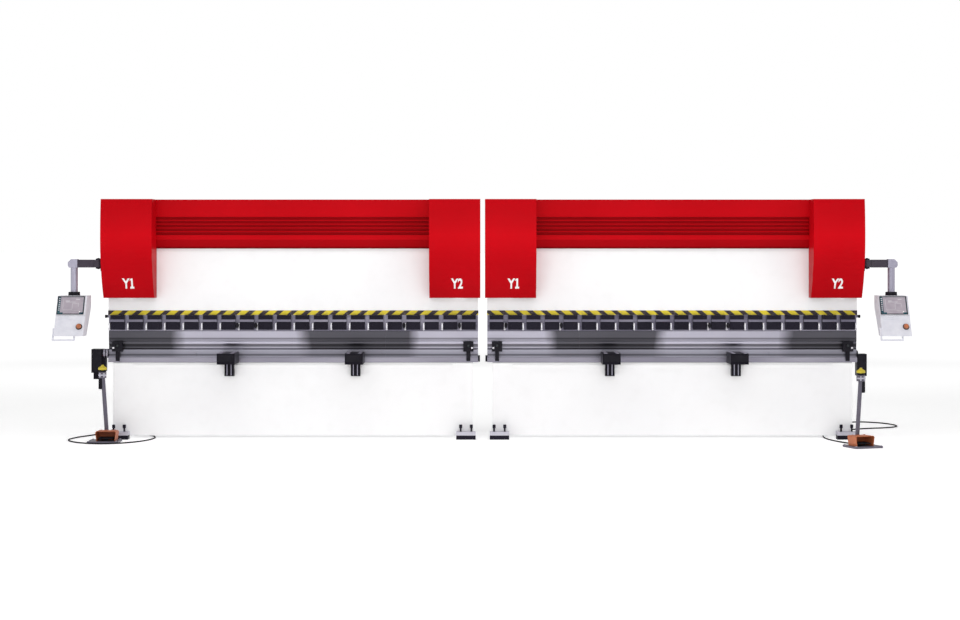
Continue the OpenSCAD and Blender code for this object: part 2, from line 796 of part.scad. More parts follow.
module treadle(s) {
    p = treadle_pin;
    half = treadle_half;
    color(dark) station(s) translate([hood_x, 0, 0]) difference() {
        union() {
            rod_x(10, -half, half, p[0], p[1]);
            block([-half, hood_y[0] + 12, p[1] - 2], [half, p[0], p[1] + 6]);
        }
        rod_x(treadle_pin_r + run, -half - 1, half + 1, p[0], p[1]);
    }
}

// Leaning pole with a clamp block, a grip and the stop's collar
module pedal_poles() {
    z = pedal_base[2];
    lean = atan((pole_head[0] - pole_foot[0]) / (pole_h - z));
    long = (pole_h - z) / cos(lean);
    head = pole_head;
    color("slategray") both_stations() difference() {
        union() {
            translate([pole_foot[0], pole_foot[1], z]) rotate([0, lean, 0])
                translate([0, 0, -5]) cylinder(r = pole_r, h = long - 20);
            block([head[0] - 36, head[1] - 30, pole_h - 70], [head[0] + 36, head[1] + 30, pole_h - 6]);
            block([head[0] + 6, head[1] - 16, pole_h - 190], [head[0] + 34, head[1] + 16, pole_h - 69]);
            rod_z(34, head[0], head[1], pole_h - 7, pole_h + 10);
        }
        block([pole_foot[0] - 60, pole_foot[1] - 60, 0], [pole_foot[0] + 60, pole_foot[1] + 60, z]);
        rod_z(stop_stem_r + run, head[0], head[1], pole_h - 16, pole_h + 11);
    }
}

// Mushroom stop on the pole
module pole_stop(s) {
    color("gold") station(s) translate([pole_head[0], pole_head[1], 0]) {
        rod_z(stop_stem_r, 0, 0, pole_h - 6 + slip, pole_h + 20);
        translate([0, 0, pole_h + 18]) cylinder(r = stop_r, h = 22);
        translate([0, 0, pole_h + 40]) cylinder(r1 = stop_r, r2 = 14, h = 20);
        translate([0, 0, pole_h + 60]) cylinder(r = 14, h = 10);
    }
}

// Pedal cables

function spline(p, i, t) =
    let (a = p[max(i - 1, 0)], b = p[i], c = p[i + 1], d = p[min(i + 2, len(p) - 1)])
    0.5 * (2 * b + (c - a) * t + (2 * a - 5 * b + 4 * c - d) * t * t
        + (3 * b - a - 3 * c + d) * t * t * t);
function along(p, u) =
    let (n = len(p) - 1, i = min(floor(u * n), n - 1)) spline(p, i, u * n - i);
function unit(v) = v / norm(v);

// Tube swept along the route; its end faces are square to the glands
module cable(route, ends) {
    sides = 10;
    n = cable_rings;
    mid = [for (k = [0:n]) along(route, k / n)];
    dirs = [for (k = [0:n]) k == 0 ? ends[0] : k == n ? ends[1]
        : unit(mid[k + 1] - mid[k - 1])];
    points = [for (k = [0:n])
        let (across = unit(cross(dirs[k], [0, 0, 1])), up = cross(across, dirs[k]))
        for (j = [0:sides - 1])
            mid[k] + cable_r * (cos(360 * j / sides) * across + sin(360 * j / sides) * up)];
    walls = [for (k = [0:n - 1]) for (j = [0:sides - 1])
        let (m = (j + 1) % sides)
        [k * sides + j, k * sides + m, (k + 1) * sides + m, (k + 1) * sides + j]];
    caps = [[for (j = [sides - 1:-1:0]) j], [for (j = [0:sides - 1]) n * sides + j]];
    color("black") polyhedron(points, concat(walls, caps), convexity = 10);
}

module left_pedal_cable() {
    cable([for (p = left_route) p - [x1, 0, 0]], [[0, 1, 0], [1, 0, 0]]);
}
module right_pedal_cable() {
    a = pedal_turn[1];
    cable([for (p = right_route) p + [x1, 0, 0]], [[-sin(a), cos(a), 0], [-1, 0, 0]]);
}

side_frames();
beds();
cylinder_covers(-1);  // left_cylinder_covers
cylinder_covers(1);  // right_cylinder_covers
beam_covers();
cylinders();
valve_blocks();
oil_tanks();
pump_motors();
ram_guides();
cabinets();
door_hinges();
feet();
levelling_bolts();
die_rails();
dies();
crowning_drives();
support_rails();
gauge_rails();
light_guards();
pendant_brackets();
pedal_bases();
pedal_poles();
pedal_hoods();

ram(-1);  // left_ram
piston_rods(-1);  // left_piston_rods
tool_holder(-1);  // left_tool_holder
clamps(-1);  // left_clamps
clamp_levers(-1);  // left_clamp_levers
punch(-1);  // left_punch
sheet_support(-1, xm + support_x);  // left_outer_support
sheet_support(-1, xm - support_x);  // left_inner_support
gauge_beam(-1);  // left_gauge_beam
gauge_finger(-1, xm + finger_x);  // left_outer_finger
gauge_finger(-1, xm - finger_x);  // left_inner_finger
cabinet_door(-1);  // left_cabinet_door
pendant_arm(-1);  // left_pendant_arm
pendant_housing(-1);  // left_pendant_housing
pendant_knob(-1);  // left_pendant_knob
treadle(-1);  // left_treadle
pole_stop(-1);  // left_pole_stop
left_pedal_cable();

ram(1);  // right_ram
piston_rods(1);  // right_piston_rods
tool_holder(1);  // right_tool_holder
clamps(1);  // right_clamps
clamp_levers(1);  // right_clamp_levers
punch(1);  // right_punch
sheet_support(1, xm + support_x);  // right_outer_support
sheet_support(1, xm - support_x);  // right_inner_support
gauge_beam(1);  // right_gauge_beam
gauge_finger(1, xm + finger_x);  // right_outer_finger
gauge_finger(1, xm - finger_x);  // right_inner_finger
cabinet_door(1);  // right_cabinet_door
pendant_arm(1);  // right_pendant_arm
pendant_housing(1);  // right_pendant_housing
pendant_knob(1);  // right_pendant_knob
treadle(1);  // right_treadle
pole_stop(1);  // right_pole_stop
right_pedal_cable();
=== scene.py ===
import json
import math

import bpy
from mathutils import Matrix, Vector

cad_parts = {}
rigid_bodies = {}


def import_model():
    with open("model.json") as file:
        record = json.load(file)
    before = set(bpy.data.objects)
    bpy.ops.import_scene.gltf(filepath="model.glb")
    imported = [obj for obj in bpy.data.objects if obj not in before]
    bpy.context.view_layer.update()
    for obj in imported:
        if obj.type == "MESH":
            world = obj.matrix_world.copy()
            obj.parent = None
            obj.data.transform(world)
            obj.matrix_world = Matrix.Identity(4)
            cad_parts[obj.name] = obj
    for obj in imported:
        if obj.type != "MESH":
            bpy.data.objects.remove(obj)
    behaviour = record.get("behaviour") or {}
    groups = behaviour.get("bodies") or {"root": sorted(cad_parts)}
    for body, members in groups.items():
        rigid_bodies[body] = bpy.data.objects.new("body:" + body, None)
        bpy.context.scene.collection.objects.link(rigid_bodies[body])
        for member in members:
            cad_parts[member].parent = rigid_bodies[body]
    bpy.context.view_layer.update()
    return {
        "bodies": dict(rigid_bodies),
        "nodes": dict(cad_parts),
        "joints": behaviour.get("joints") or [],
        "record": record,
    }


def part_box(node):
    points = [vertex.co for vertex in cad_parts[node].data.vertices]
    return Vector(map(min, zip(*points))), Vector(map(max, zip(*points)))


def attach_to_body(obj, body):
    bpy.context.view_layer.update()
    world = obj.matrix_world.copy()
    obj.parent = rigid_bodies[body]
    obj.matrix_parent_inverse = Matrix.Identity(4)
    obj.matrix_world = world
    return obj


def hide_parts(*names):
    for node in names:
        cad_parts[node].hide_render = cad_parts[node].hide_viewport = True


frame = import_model()
nodes = frame["nodes"]
print("frame loaded:", len(nodes), "nodes")


# Camera, light and floor

studio = {
    "cameraPlace": (-0.029, -20.47, 2.094),
    "lens": 70.43,
    "cameraShift": -0.0677,
    "roomGlow": 0.31,
    "topPower": 350,
    "frontPower": 380,
    "sidePower": 80,
}

bpy.ops.object.camera_add(location=studio["cameraPlace"], rotation=(math.radians(90), 0, 0))
camera = bpy.context.object
camera.data.sensor_width = 36
camera.data.lens = studio["lens"]
camera.data.shift_y = studio["cameraShift"]
bpy.context.scene.camera = camera
bpy.context.scene.view_settings.view_transform = "Standard"


def softLight(name, place, aim, size, power):
    turn = (Vector(aim) - Vector(place)).to_track_quat("-Z", "Y").to_euler()
    bpy.ops.object.light_add(type="AREA", location=place, rotation=turn)
    light = bpy.context.object
    light.name = name
    light.data.shape = "RECTANGLE"
    light.data.size, light.data.size_y = size
    light.data.energy = power
    return light


softLight("topSoft", (0, -2.5, 7.5), (0, 0, 0.5), (14, 6), studio["topPower"])
softLight("frontSoft", (0, -13, 4.2), (0, 0, 1.2), (16, 4), studio["frontPower"])
softLight("leftSoft", (-11, -4, 3.5), (-2, 0, 1.2), (4, 4), studio["sidePower"])
softLight("rightSoft", (11, -4, 3.5), (2, 0, 1.2), (4, 4), studio["sidePower"])
softLight("rearSoft", (0, 11, 5), (0, 0, 1), (14, 4), studio["topPower"] * 0.7)

world = bpy.data.worlds.new("studioRoom")
bpy.context.scene.world = world
world.use_nodes = True
worldTree = world.node_tree
worldTree.nodes.clear()
roomEnd = worldTree.nodes.new("ShaderNodeOutputWorld")
roomMix = worldTree.nodes.new("ShaderNodeMixShader")
roomPath = worldTree.nodes.new("ShaderNodeLightPath")
roomGlow = worldTree.nodes.new("ShaderNodeBackground")
roomWhite = worldTree.nodes.new("ShaderNodeBackground")
roomGlow.inputs["Color"].default_value = (1, 1, 1, 1)
roomGlow.inputs["Strength"].default_value = studio["roomGlow"]
roomWhite.inputs["Color"].default_value = (1, 1, 1, 1)
roomWhite.inputs["Strength"].default_value = 1.0
worldTree.links.new(roomPath.outputs["Is Camera Ray"], roomMix.inputs[0])
worldTree.links.new(roomGlow.outputs[0], roomMix.inputs[1])
worldTree.links.new(roomWhite.outputs[0], roomMix.inputs[2])
worldTree.links.new(roomMix.outputs[0], roomEnd.inputs[0])


# Modelling helpers

def focus(piece):
    if bpy.context.mode != "OBJECT":
        bpy.ops.object.mode_set(mode="OBJECT")
    bpy.ops.object.select_all(action="DESELECT")
    piece.select_set(True)
    bpy.context.view_layer.objects.active = piece


def settle(piece):
    # the place goes into the mesh, so the object sits at the origin
    focus(piece)
    bpy.ops.object.transform_apply(location=True, rotation=True, scale=True)
    return piece


def startBlock(name, low, high):
    low, high = Vector(low), Vector(high)
    bpy.ops.object.select_all(action="DESELECT")
    bpy.ops.mesh.primitive_cube_add(size=1, location=(low + high) / 2)
    piece = bpy.context.object
    piece.name = name
    piece.scale = high - low
    return settle(piece)


def startRod(name, radius, start, end, sides=24, endRadius=None):
    start, end = Vector(start), Vector(end)
    turn = (end - start).to_track_quat("Z", "Y").to_euler()
    bpy.ops.object.select_all(action="DESELECT")
    bpy.ops.mesh.primitive_cone_add(
        vertices=sides, radius1=radius, radius2=radius if endRadius is None else endRadius,
        depth=(end - start).length, location=(start + end) / 2, rotation=turn)
    piece = bpy.context.object
    piece.name = name
    return settle(piece)


def pick(piece, test, kind="FACE"):
    # leaves the piece in edit mode with the faces or edges that pass selected
    focus(piece)
    bpy.ops.object.mode_set(mode="EDIT")
    bpy.ops.mesh.select_mode(type=kind)
    bpy.ops.mesh.select_all(action="DESELECT")
    bpy.ops.object.mode_set(mode="OBJECT")
    if kind == "FACE":
        for face in piece.data.polygons:
            face.select = test(face)
    else:
        spots = piece.data.vertices
        for edge in piece.data.edges:
            edge.select = test(spots[edge.vertices[0]].co, spots[edge.vertices[1]].co)
    bpy.ops.object.mode_set(mode="EDIT")


def done():
    bpy.ops.object.mode_set(mode="OBJECT")


def facing(direction, share=0.9):
    direction = Vector(direction)
    return lambda face: face.normal.dot(direction) > share


toLeft, toRight, toFront, toRear, toUnder, toTop = (
    facing(way) for way in ((-1, 0, 0), (1, 0, 0), (0, -1, 0), (0, 1, 0), (0, 0, -1), (0, 0, 1)))


def endsOn(axis):
    return lambda face: abs(getattr(face.normal, axis)) > 0.9


def insetFaces(piece, test, thickness, depth=0.0, each=False):
    pick(piece, test)
    bpy.ops.mesh.inset(thickness=thickness, depth=0, use_individual=each)
    if depth:
        bpy.ops.mesh.inset(thickness=0.00001, depth=depth, use_individual=each)
    done()
    return piece


def useModifier(piece, kind, **values):
    focus(piece)
    modifier = piece.modifiers.new("step", kind)
    for key, value in values.items():
        setattr(modifier, key, value)
    bpy.ops.object.modifier_apply(modifier=modifier.name)
    return piece


def soften(piece, width, segments=2, angle=30):
    useModifier(piece, "BEVEL", width=width, segments=segments,
                limit_method="ANGLE", angle_limit=math.radians(angle), harden_normals=False)
    focus(piece)
    bpy.ops.object.shade_smooth_by_angle(angle=math.radians(40))
    return piece


def cutAlong(piece, direction, cuts):
    # rings across the edges that run in one direction
    direction = Vector(direction)
    pick(piece, lambda a, b: abs((a - b).normalized().dot(direction)) > 0.9, "EDGE")
    bpy.ops.mesh.subdivide(number_cuts=cuts)
    done()


def copyOf(piece, name, matrix=None):
    twin = piece.copy()
    twin.data = piece.data.copy()
    twin.name = name
    bpy.context.scene.collection.objects.link(twin)
    if matrix is not None:
        twin.data.transform(matrix)
        if matrix.determinant() < 0:
            focus(twin)
            bpy.ops.object.mode_set(mode="EDIT")
            bpy.ops.mesh.select_all(action="SELECT")
            bpy.ops.mesh.normals_make_consistent(inside=False)
            done()
    return twin


def joined(name, pieces):
    focus(pieces[0])
    for piece in pieces[1:]:
        piece.select_set(True)
    bpy.ops.object.join()
    pieces[0].name = name
    pieces[0].data.name = name
    return pieces[0]


def repeated(piece, name, moves):
    # the first copy stays where it was modelled
    copies = [copyOf(piece, name, Matrix.Translation(move)) for move in moves]
    bpy.data.objects.remove(piece)
    return joined(name, copies)


mirrorX = Matrix.Scale(-1, 4, (1, 0, 0))


def dress(piece, material):
    piece.data.materials.clear()
    piece.data.materials.append(material)
    return piece


def finished(piece, test, inset, rounding, material, each=False):
    # inset is a width and a depth, rounding a width and a number of segments
    insetFaces(piece, test, *inset, each=each)
    return dress(soften(piece, *rounding), material)


def attach(piece, side, body):
    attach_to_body(piece, body if body == "frame" else side + "_" + body)


def fitPair(piece, name, body, material):
    # the piece is the right machine's; its mirror image goes on the left one
    if material is not None:
        dress(piece, material)
    twin = copyOf(piece, "left" + name, mirrorX)
    piece.name = "right" + name
    attach(piece, "right", body)
    attach(twin, "left", body)


# Shader groups shared by several finishes

def makeGroup(name, inputs, outputs):
    tree = bpy.data.node_groups.new(name, "ShaderNodeTree")
    for label, kind, value in inputs:
        socket = tree.interface.new_socket(name=label, in_out="INPUT", socket_type="NodeSocket" + kind)
        socket.default_value = value
    for label, kind in outputs:
        tree.interface.new_socket(name=label, in_out="OUTPUT", socket_type="NodeSocket" + kind)
    return tree, tree.nodes.new("NodeGroupInput"), tree.nodes.new("NodeGroupOutput")


def addNode(tree, kind, settings=None, **sockets):
    node = tree.nodes.new("ShaderNode" + kind)
    for key, value in (settings or {}).items():
        setattr(node, key, value)
    for label, value in sockets.items():
        socket = node.inputs[label.replace("_", " ")]
        if isinstance(value, bpy.types.NodeSocket):
            tree.links.new(value, socket)
        else:
            socket.default_value = value
    return node


def mathNode(tree, operation, first, second=None, third=None):
    node = tree.nodes.new("ShaderNodeMath")
    node.operation = operation
    for index, value in enumerate((first, second, third)):
        if isinstance(value, bpy.types.NodeSocket):
            tree.links.new(value, node.inputs[index])
        elif value is not None:
            node.inputs[index].default_value = value
    return node.outputs[0]


def mixColour(tree, share, first, second):
    node = tree.nodes.new("ShaderNodeMix")
    node.data_type = "RGBA"
    for index, value in ((0, share), (6, first), (7, second)):
        if isinstance(value, bpy.types.NodeSocket):
            tree.links.new(value, node.inputs[index])
        else:
            node.inputs[index].default_value = value
    return node.outputs[2]


def objectNoise(tree, scale, detail=3.0, stretch=(1, 1, 1)):
    spot = addNode(tree, "TexCoord").outputs["Object"]
    if tuple(stretch) != (1, 1, 1):
        spot = addNode(tree, "Mapping", Vector=spot, Scale=stretch).outputs[0]
    return addNode(tree, "TexNoise", Vector=spot, Scale=scale, Detail=detail).outputs[0]


def spread(tree, value, low, high, outLow=0.0, outHigh=1.0):
    node = addNode(tree, "MapRange", Value=value)
    node.inputs["From Min"].default_value = low
    node.inputs["From Max"].default_value = high
    node.inputs["To Min"].default_value = outLow
    node.inputs["To Max"].default_value = outHigh
    return node.outputs[0]


# Sprayed paint: slow shade changes, settled dust and orange peel
paintSkin, paintIn, paintOut = makeGroup(
    "paintSkin",
    [("Light", "Color", (1, 1, 1, 1)), ("Deep", "Color", (1, 1, 1, 1)),
     ("Dust", "Color", (1, 1, 1, 1)), ("Dustiness", "Float", 0.2),
     ("Gloss", "Float", 0.35), ("Peel Scale", "Float", 700.0)],
    [("Color", "Color"), ("Roughness", "Float"), ("Height", "Float")])
shade = spread(paintSkin, objectNoise(paintSkin, 0.9, 2), 0.35, 0.65)
cloud = spread(paintSkin, objectNoise(paintSkin, 7.0, 6), 0.5, 0.78)
layer = mathNode(paintSkin, "MULTIPLY", cloud, paintIn.outputs["Dustiness"])
coat = mixColour(paintSkin, shade, paintIn.outputs["Light"], paintIn.outputs["Deep"])
paintSkin.links.new(mixColour(paintSkin, layer, coat, paintIn.outputs["Dust"]), paintOut.inputs["Color"])
paintSkin.links.new(mathNode(paintSkin, "ADD", paintIn.outputs["Gloss"],
                             mathNode(paintSkin, "MULTIPLY", layer, 0.5)), paintOut.inputs["Roughness"])
peelSpot = addNode(paintSkin, "TexCoord").outputs["Object"]
peel = addNode(paintSkin, "TexNoise", Vector=peelSpot, Scale=paintIn.outputs["Peel Scale"], Detail=1.0)
paintSkin.links.new(peel.outputs[0], paintOut.inputs["Height"])

# Ground or drawn steel: fine lines along the piece and slow heat marks
steelGrain, grainIn, grainOut = makeGroup(
    "steelGrain",
    [("Light", "Color", (1, 1, 1, 1)), ("Deep", "Color", (1, 1, 1, 1)),
     ("Lines", "Vector", (2, 400, 400)), ("Patches", "Vector", (0.5, 0.5, 0.5)),
     ("Gloss", "Float", 0.3)],
    [("Color", "Color"), ("Roughness", "Float"), ("Height", "Float")])
grainSpot = addNode(steelGrain, "TexCoord").outputs["Object"]
lineSpot = addNode(steelGrain, "Mapping", Vector=grainSpot, Scale=grainIn.outputs["Lines"]).outputs[0]
lines = addNode(steelGrain, "TexNoise", Vector=lineSpot, Scale=1.0, Detail=3.0).outputs[0]
patchSpot = addNode(steelGrain, "Mapping", Vector=grainSpot, Scale=grainIn.outputs["Patches"]).outputs[0]
patches = addNode(steelGrain, "TexNoise", Vector=patchSpot, Scale=1.0, Detail=2.0).outputs[0]
tone = mathNode(steelGrain, "MULTIPLY_ADD", spread(steelGrain, lines, 0.3, 0.7), 0.35,
                mathNode(steelGrain, "MULTIPLY", spread(steelGrain, patches, 0.38, 0.62), 0.65))
steelGrain.links.new(mixColour(steelGrain, tone, grainIn.outputs["Deep"], grainIn.outputs["Light"]),
                     grainOut.inputs["Color"])
steelGrain.links.new(mathNode(steelGrain, "MULTIPLY_ADD", lines, 0.18, grainIn.outputs["Gloss"]),
                     grainOut.inputs["Roughness"])
steelGrain.links.new(lines, grainOut.inputs["Height"])

# Edge marks where the surface turns a corner, broken up by scratches: rubbed wear on most finishes, painted
# shade along corners and groove edges on the red
edgeWearAndShade, edgeMarkIn, edgeMarkOut = makeGroup(
    "edgeWearAndShade", [("Radius", "Float", 0.003), ("Amount", "Float", 0.5)],
    [("Mask", "Float"), ("Normal", "Vector")])
roundNormal = addNode(edgeWearAndShade, "Bevel", {"samples": 3}, Radius=edgeMarkIn.outputs["Radius"]).outputs[0]
flatNormal = addNode(edgeWearAndShade, "NewGeometry").outputs["Normal"]
lean = addNode(edgeWearAndShade, "VectorMath", {"operation": "DOT_PRODUCT"})
edgeWearAndShade.links.new(roundNormal, lean.inputs[0])
edgeWearAndShade.links.new(flatNormal, lean.inputs[1])
edge = spread(edgeWearAndShade, lean.outputs["Value"], 0.995, 0.8)
chips = spread(edgeWearAndShade, objectNoise(edgeWearAndShade, 60.0, 5), 0.42, 0.62)
edgeWearAndShade.links.new(mathNode(edgeWearAndShade, "MULTIPLY", mathNode(edgeWearAndShade, "MULTIPLY", edge, chips),
                           edgeMarkIn.outputs["Amount"]), edgeMarkOut.inputs["Mask"])
edgeWearAndShade.links.new(roundNormal, edgeMarkOut.inputs["Normal"])

# Moulded plastic and rubber: spark-eroded grain with handling marks
mouldedSkin, mouldIn, mouldOut = makeGroup(
    "mouldedSkin",
    [("Light", "Color", (1, 1, 1, 1)), ("Deep", "Color", (1, 1, 1, 1)),
     ("Grain Scale", "Float", 900.0), ("Gloss", "Float", 0.5)],
    [("Color", "Color"), ("Roughness", "Float"), ("Height", "Float")])
mouldSpot = addNode(mouldedSkin, "TexCoord").outputs["Object"]
pits = addNode(mouldedSkin, "TexVoronoi", Vector=mouldSpot, Scale=mouldIn.outputs["Grain Scale"]).outputs[0]
marks = spread(mouldedSkin, objectNoise(mouldedSkin, 14.0, 5), 0.35, 0.7)
mouldedSkin.links.new(mixColour(mouldedSkin, marks, mouldIn.outputs["Light"], mouldIn.outputs["Deep"]),
                      mouldOut.inputs["Color"])
mouldedSkin.links.new(mathNode(mouldedSkin, "MULTIPLY_ADD", marks, 0.15, mouldIn.outputs["Gloss"]),
                      mouldOut.inputs["Roughness"])
mouldedSkin.links.new(pits, mouldOut.inputs["Height"])


def colour(red, green, blue):
    return (red, green, blue, 1)


def newMaterial(name):
    material = bpy.data.materials.new(name)
    material.use_nodes = True
    tree = material.node_tree
    return material, tree, tree.nodes["Principled BSDF"]


def useGroup(tree, group, **sockets):
    node = tree.nodes.new("ShaderNodeGroup")
    node.node_tree = group
    for label, value in sockets.items():
        node.inputs[label.replace("_", " ")].default_value = value
    return node


def addBump(tree, shader, height, strength, distance, normal=None):
    bump = addNode(tree, "Bump", Height=height, Strength=strength, Distance=distance)
    if normal is not None:
        tree.links.new(normal, bump.inputs["Normal"])
    tree.links.new(bump.outputs[0], shader.inputs["Normal"])


def paintedLightByHeight(tree, coat, tones):
    # painted light: the coat is scaled lighter and darker with height, giving painted highlight bands and
    # painted shade bands
    spot = addNode(tree, "SeparateXYZ", Vector=addNode(tree, "TexCoord").outputs["Object"])
    low, high = tones[0][0], tones[-1][0]
    ramp = addNode(tree, "ValToRGB", Fac=spread(tree, spot.outputs["Z"], low, high))
    stops = ramp.color_ramp.elements
    for index, (height, value) in enumerate(tones):
        share = (height - low) / (high - low)
        stop = stops[0] if index == 0 else stops[-1] if index == len(tones) - 1 else stops.new(share)
        stop.position = share
        stop.color = (value, value, value, 1)
    tone = addNode(tree, "SeparateColor", Color=ramp.outputs[0]).outputs[0]
    shaded = addNode(tree, "VectorMath", {"operation": "SCALE"}, Scale=tone)
    tree.links.new(coat, shaded.inputs[0])
    return shaded.outputs[0]


def paintFinish(name, look):
    material, tree, shader = newMaterial(name)
    skin = useGroup(tree, paintSkin, Light=look["light"], Deep=look["deep"], Dust=look["dust"],
                    Dustiness=look["dustiness"], Gloss=look["gloss"], Peel_Scale=look.get("peel", 600.0))
    edgeMark = useGroup(tree, edgeWearAndShade, Radius=look.get("edge", 0.003), Amount=look.get("edgeMark", 0.5))
    coat = skin.outputs["Color"]
    if "tones" in look:
        coat = paintedLightByHeight(tree, coat, look["tones"])
    # edge colour over the edge mask: wear on most paints, painted shade on the red
    base = mixColour(tree, edgeMark.outputs["Mask"], coat, look["under"])
    tree.links.new(base, shader.inputs["Base Color"])
    tree.links.new(skin.outputs["Roughness"], shader.inputs["Roughness"])
    addBump(tree, shader, skin.outputs["Height"], 0.12, 0.0004, edgeMark.outputs["Normal"])
    shader.inputs["Specular IOR Level"].default_value = look.get("shine", 0.3)
    shader.inputs["Coat Weight"].default_value = look.get("coat", 0.0)
    shader.inputs["Coat Roughness"].default_value = 0.2
    return material


def steelFinish(name, look):
    material, tree, shader = newMaterial(name)
    grain = useGroup(tree, steelGrain, Light=look["light"], Deep=look["deep"],
                     Lines=look["lines"], Patches=look.get("patches", (0.6, 0.6, 0.6)),
                     Gloss=look["gloss"])
    edgeMark = useGroup(tree, edgeWearAndShade, Radius=look.get("edge", 0.0015), Amount=look.get("edgeMark", 0.6))
    base = mixColour(tree, edgeMark.outputs["Mask"], grain.outputs["Color"], look["bare"])
    tree.links.new(base, shader.inputs["Base Color"])
    tree.links.new(grain.outputs["Roughness"], shader.inputs["Roughness"])
    addBump(tree, shader, grain.outputs["Height"], 0.15, 0.0003, edgeMark.outputs["Normal"])
    shader.inputs["Metallic"].default_value = look.get("metal", 0.9)
    return material


def toolFinish(name, look):
    # tool steel: along the row set lengths are darkened as a painted reflection,
    # and bands up the profile are lightened and darkened as painted highlights and painted shade
    material, tree, shader = newMaterial(name)
    grain = useGroup(tree, steelGrain, Light=look["light"], Deep=look["deep"], Lines=look["lines"],
                     Patches=(0.8, 0.8, 0.8), Gloss=look["gloss"])
    edgeMark = useGroup(tree, edgeWearAndShade, Radius=0.0012, Amount=0.5)
    spot = addNode(tree, "SeparateXYZ", Vector=addNode(tree, "TexCoord").outputs["Object"])
    along = mathNode(tree, "ABSOLUTE", spot.outputs["X"])
    blur = spread(tree, objectNoise(tree, 2.2, 4), 0.3, 0.7, -0.05, 0.05)
    along = mathNode(tree, "ADD", along, blur)
    # painted reflection: set lengths along |x| are darkened
    paintedReflectionDark = mathNode(tree, "ADD", spread(tree, along, 3.22, 3.36), mathNode(
        tree, "SUBTRACT", spread(tree, along, 0.68, 0.82), spread(tree, along, 1.88, 2.02)))
    length = mathNode(tree, "MULTIPLY_ADD", paintedReflectionDark, look["reflectionDarkShare"] - 1, 1.0)
    shaded = addNode(tree, "VectorMath", {"operation": "SCALE"}, Scale=length)
    tree.links.new(paintedLightByHeight(tree, grain.outputs["Color"], look["steps"]), shaded.inputs[0])
    rubbed = mathNode(tree, "MULTIPLY", edgeMark.outputs["Mask"], length)
    base = mixColour(tree, rubbed, shaded.outputs[0], look["bare"])
    tree.links.new(base, shader.inputs["Base Color"])
    tree.links.new(grain.outputs["Roughness"], shader.inputs["Roughness"])
    addBump(tree, shader, grain.outputs["Height"], 0.15, 0.0003, edgeMark.outputs["Normal"])
    shader.inputs["Metallic"].default_value = 0.9
    return material


def plasticFinish(name, look):
    material, tree, shader = newMaterial(name)
    skin = useGroup(tree, mouldedSkin, Light=look["light"], Deep=look["deep"],
                    Grain_Scale=look.get("grain", 700.0), Gloss=look["gloss"])
    tree.links.new(skin.outputs["Color"], shader.inputs["Base Color"])
    tree.links.new(skin.outputs["Roughness"], shader.inputs["Roughness"])
    addBump(tree, shader, skin.outputs["Height"], look.get("depth", 0.15), 0.0003)
    shader.inputs["Specular IOR Level"].default_value = look.get("shine", 0.4)
    return material


whitePaint = paintFinish("whitePaint", {
    "light": colour(0.95, 0.95, 0.955), "deep": colour(0.91, 0.91, 0.92), "dust": colour(0.62, 0.61, 0.59),
    "dustiness": 0.08, "gloss": 0.4, "under": colour(0.55, 0.545, 0.54), "edgeMark": 0.45, "shine": 0.35})
# the red's edge colour is darker than the coat: painted shade along its corners and groove edges
redCoat = {
    "light": colour(0.52, 0.002, 0.007), "deep": colour(0.465, 0.0015, 0.0055),
    "dust": colour(0.42, 0.008, 0.012), "dustiness": 0.15, "gloss": 0.34,
    "under": colour(0.30, 0.002, 0.005), "edgeMark": 0.5, "edge": 0.004, "shine": 0.03}
redPaint = paintFinish("redPaint", redCoat)
# painted highlight across the covers' bulge and painted shade towards their foot, set by height
coverRed = paintFinish("coverRed", dict(redCoat, tones=[
    (1.52, 0.80), (1.70, 0.90), (1.92, 1.0), (2.08, 1.14), (2.20, 1.20), (2.32, 1.08), (2.44, 1.0),
    (2.59, 0.97)]))
# painted shade in the beam cover's grooves and along its lower edge, painted highlight bands between them, set
# by height
beamShadeAndHighlight = [(2.062, 0.40), (2.072, 0.40), (2.078, 0.74), (2.150, 0.80), (2.156, 1.06), (2.199, 1.0)]
for step in range(5):
    foot = 2.203 + 0.041 * step
    beamShadeAndHighlight += [(foot, 0.70), (foot + 0.028, 0.70), (foot + 0.030, 0.92), (foot + 0.039, 0.92)]
beamShadeAndHighlight = beamShadeAndHighlight[:-2] + [(2.400, 1.0), (2.450, 1.03), (2.585, 0.97)]
beamRed = paintFinish("beamRed", dict(redCoat, tones=beamShadeAndHighlight))
darkPaint = paintFinish("darkPaint", {
    "light": colour(0.0085, 0.0072, 0.0135), "deep": colour(0.0055, 0.0045, 0.009),
    "dust": colour(0.04, 0.038, 0.042), "dustiness": 0.16, "gloss": 0.36,
    "under": colour(0.075, 0.073, 0.085), "edgeMark": 0.6, "shine": 0.09})
greyPaint = paintFinish("greyPaint", {
    "light": colour(0.135, 0.125, 0.165), "deep": colour(0.10, 0.093, 0.127),
    "dust": colour(0.25, 0.24, 0.25), "dustiness": 0.2, "gloss": 0.4,
    "under": colour(0.3, 0.29, 0.31), "edgeMark": 0.5, "shine": 0.3})
armPaint = paintFinish("armPaint", {
    "light": colour(0.062, 0.050, 0.070), "deep": colour(0.040, 0.032, 0.048),
    "dust": colour(0.12, 0.115, 0.12), "dustiness": 0.2, "gloss": 0.36,
    "under": colour(0.2, 0.19, 0.21), "edgeMark": 0.5, "shine": 0.2})
orangePaint = paintFinish("orangePaint", {
    "light": colour(0.56, 0.165, 0.062), "deep": colour(0.43, 0.105, 0.038),
    "dust": colour(0.33, 0.16, 0.09), "dustiness": 0.35, "gloss": 0.42,
    "under": colour(0.22, 0.09, 0.05), "edgeMark": 0.75, "shine": 0.3})
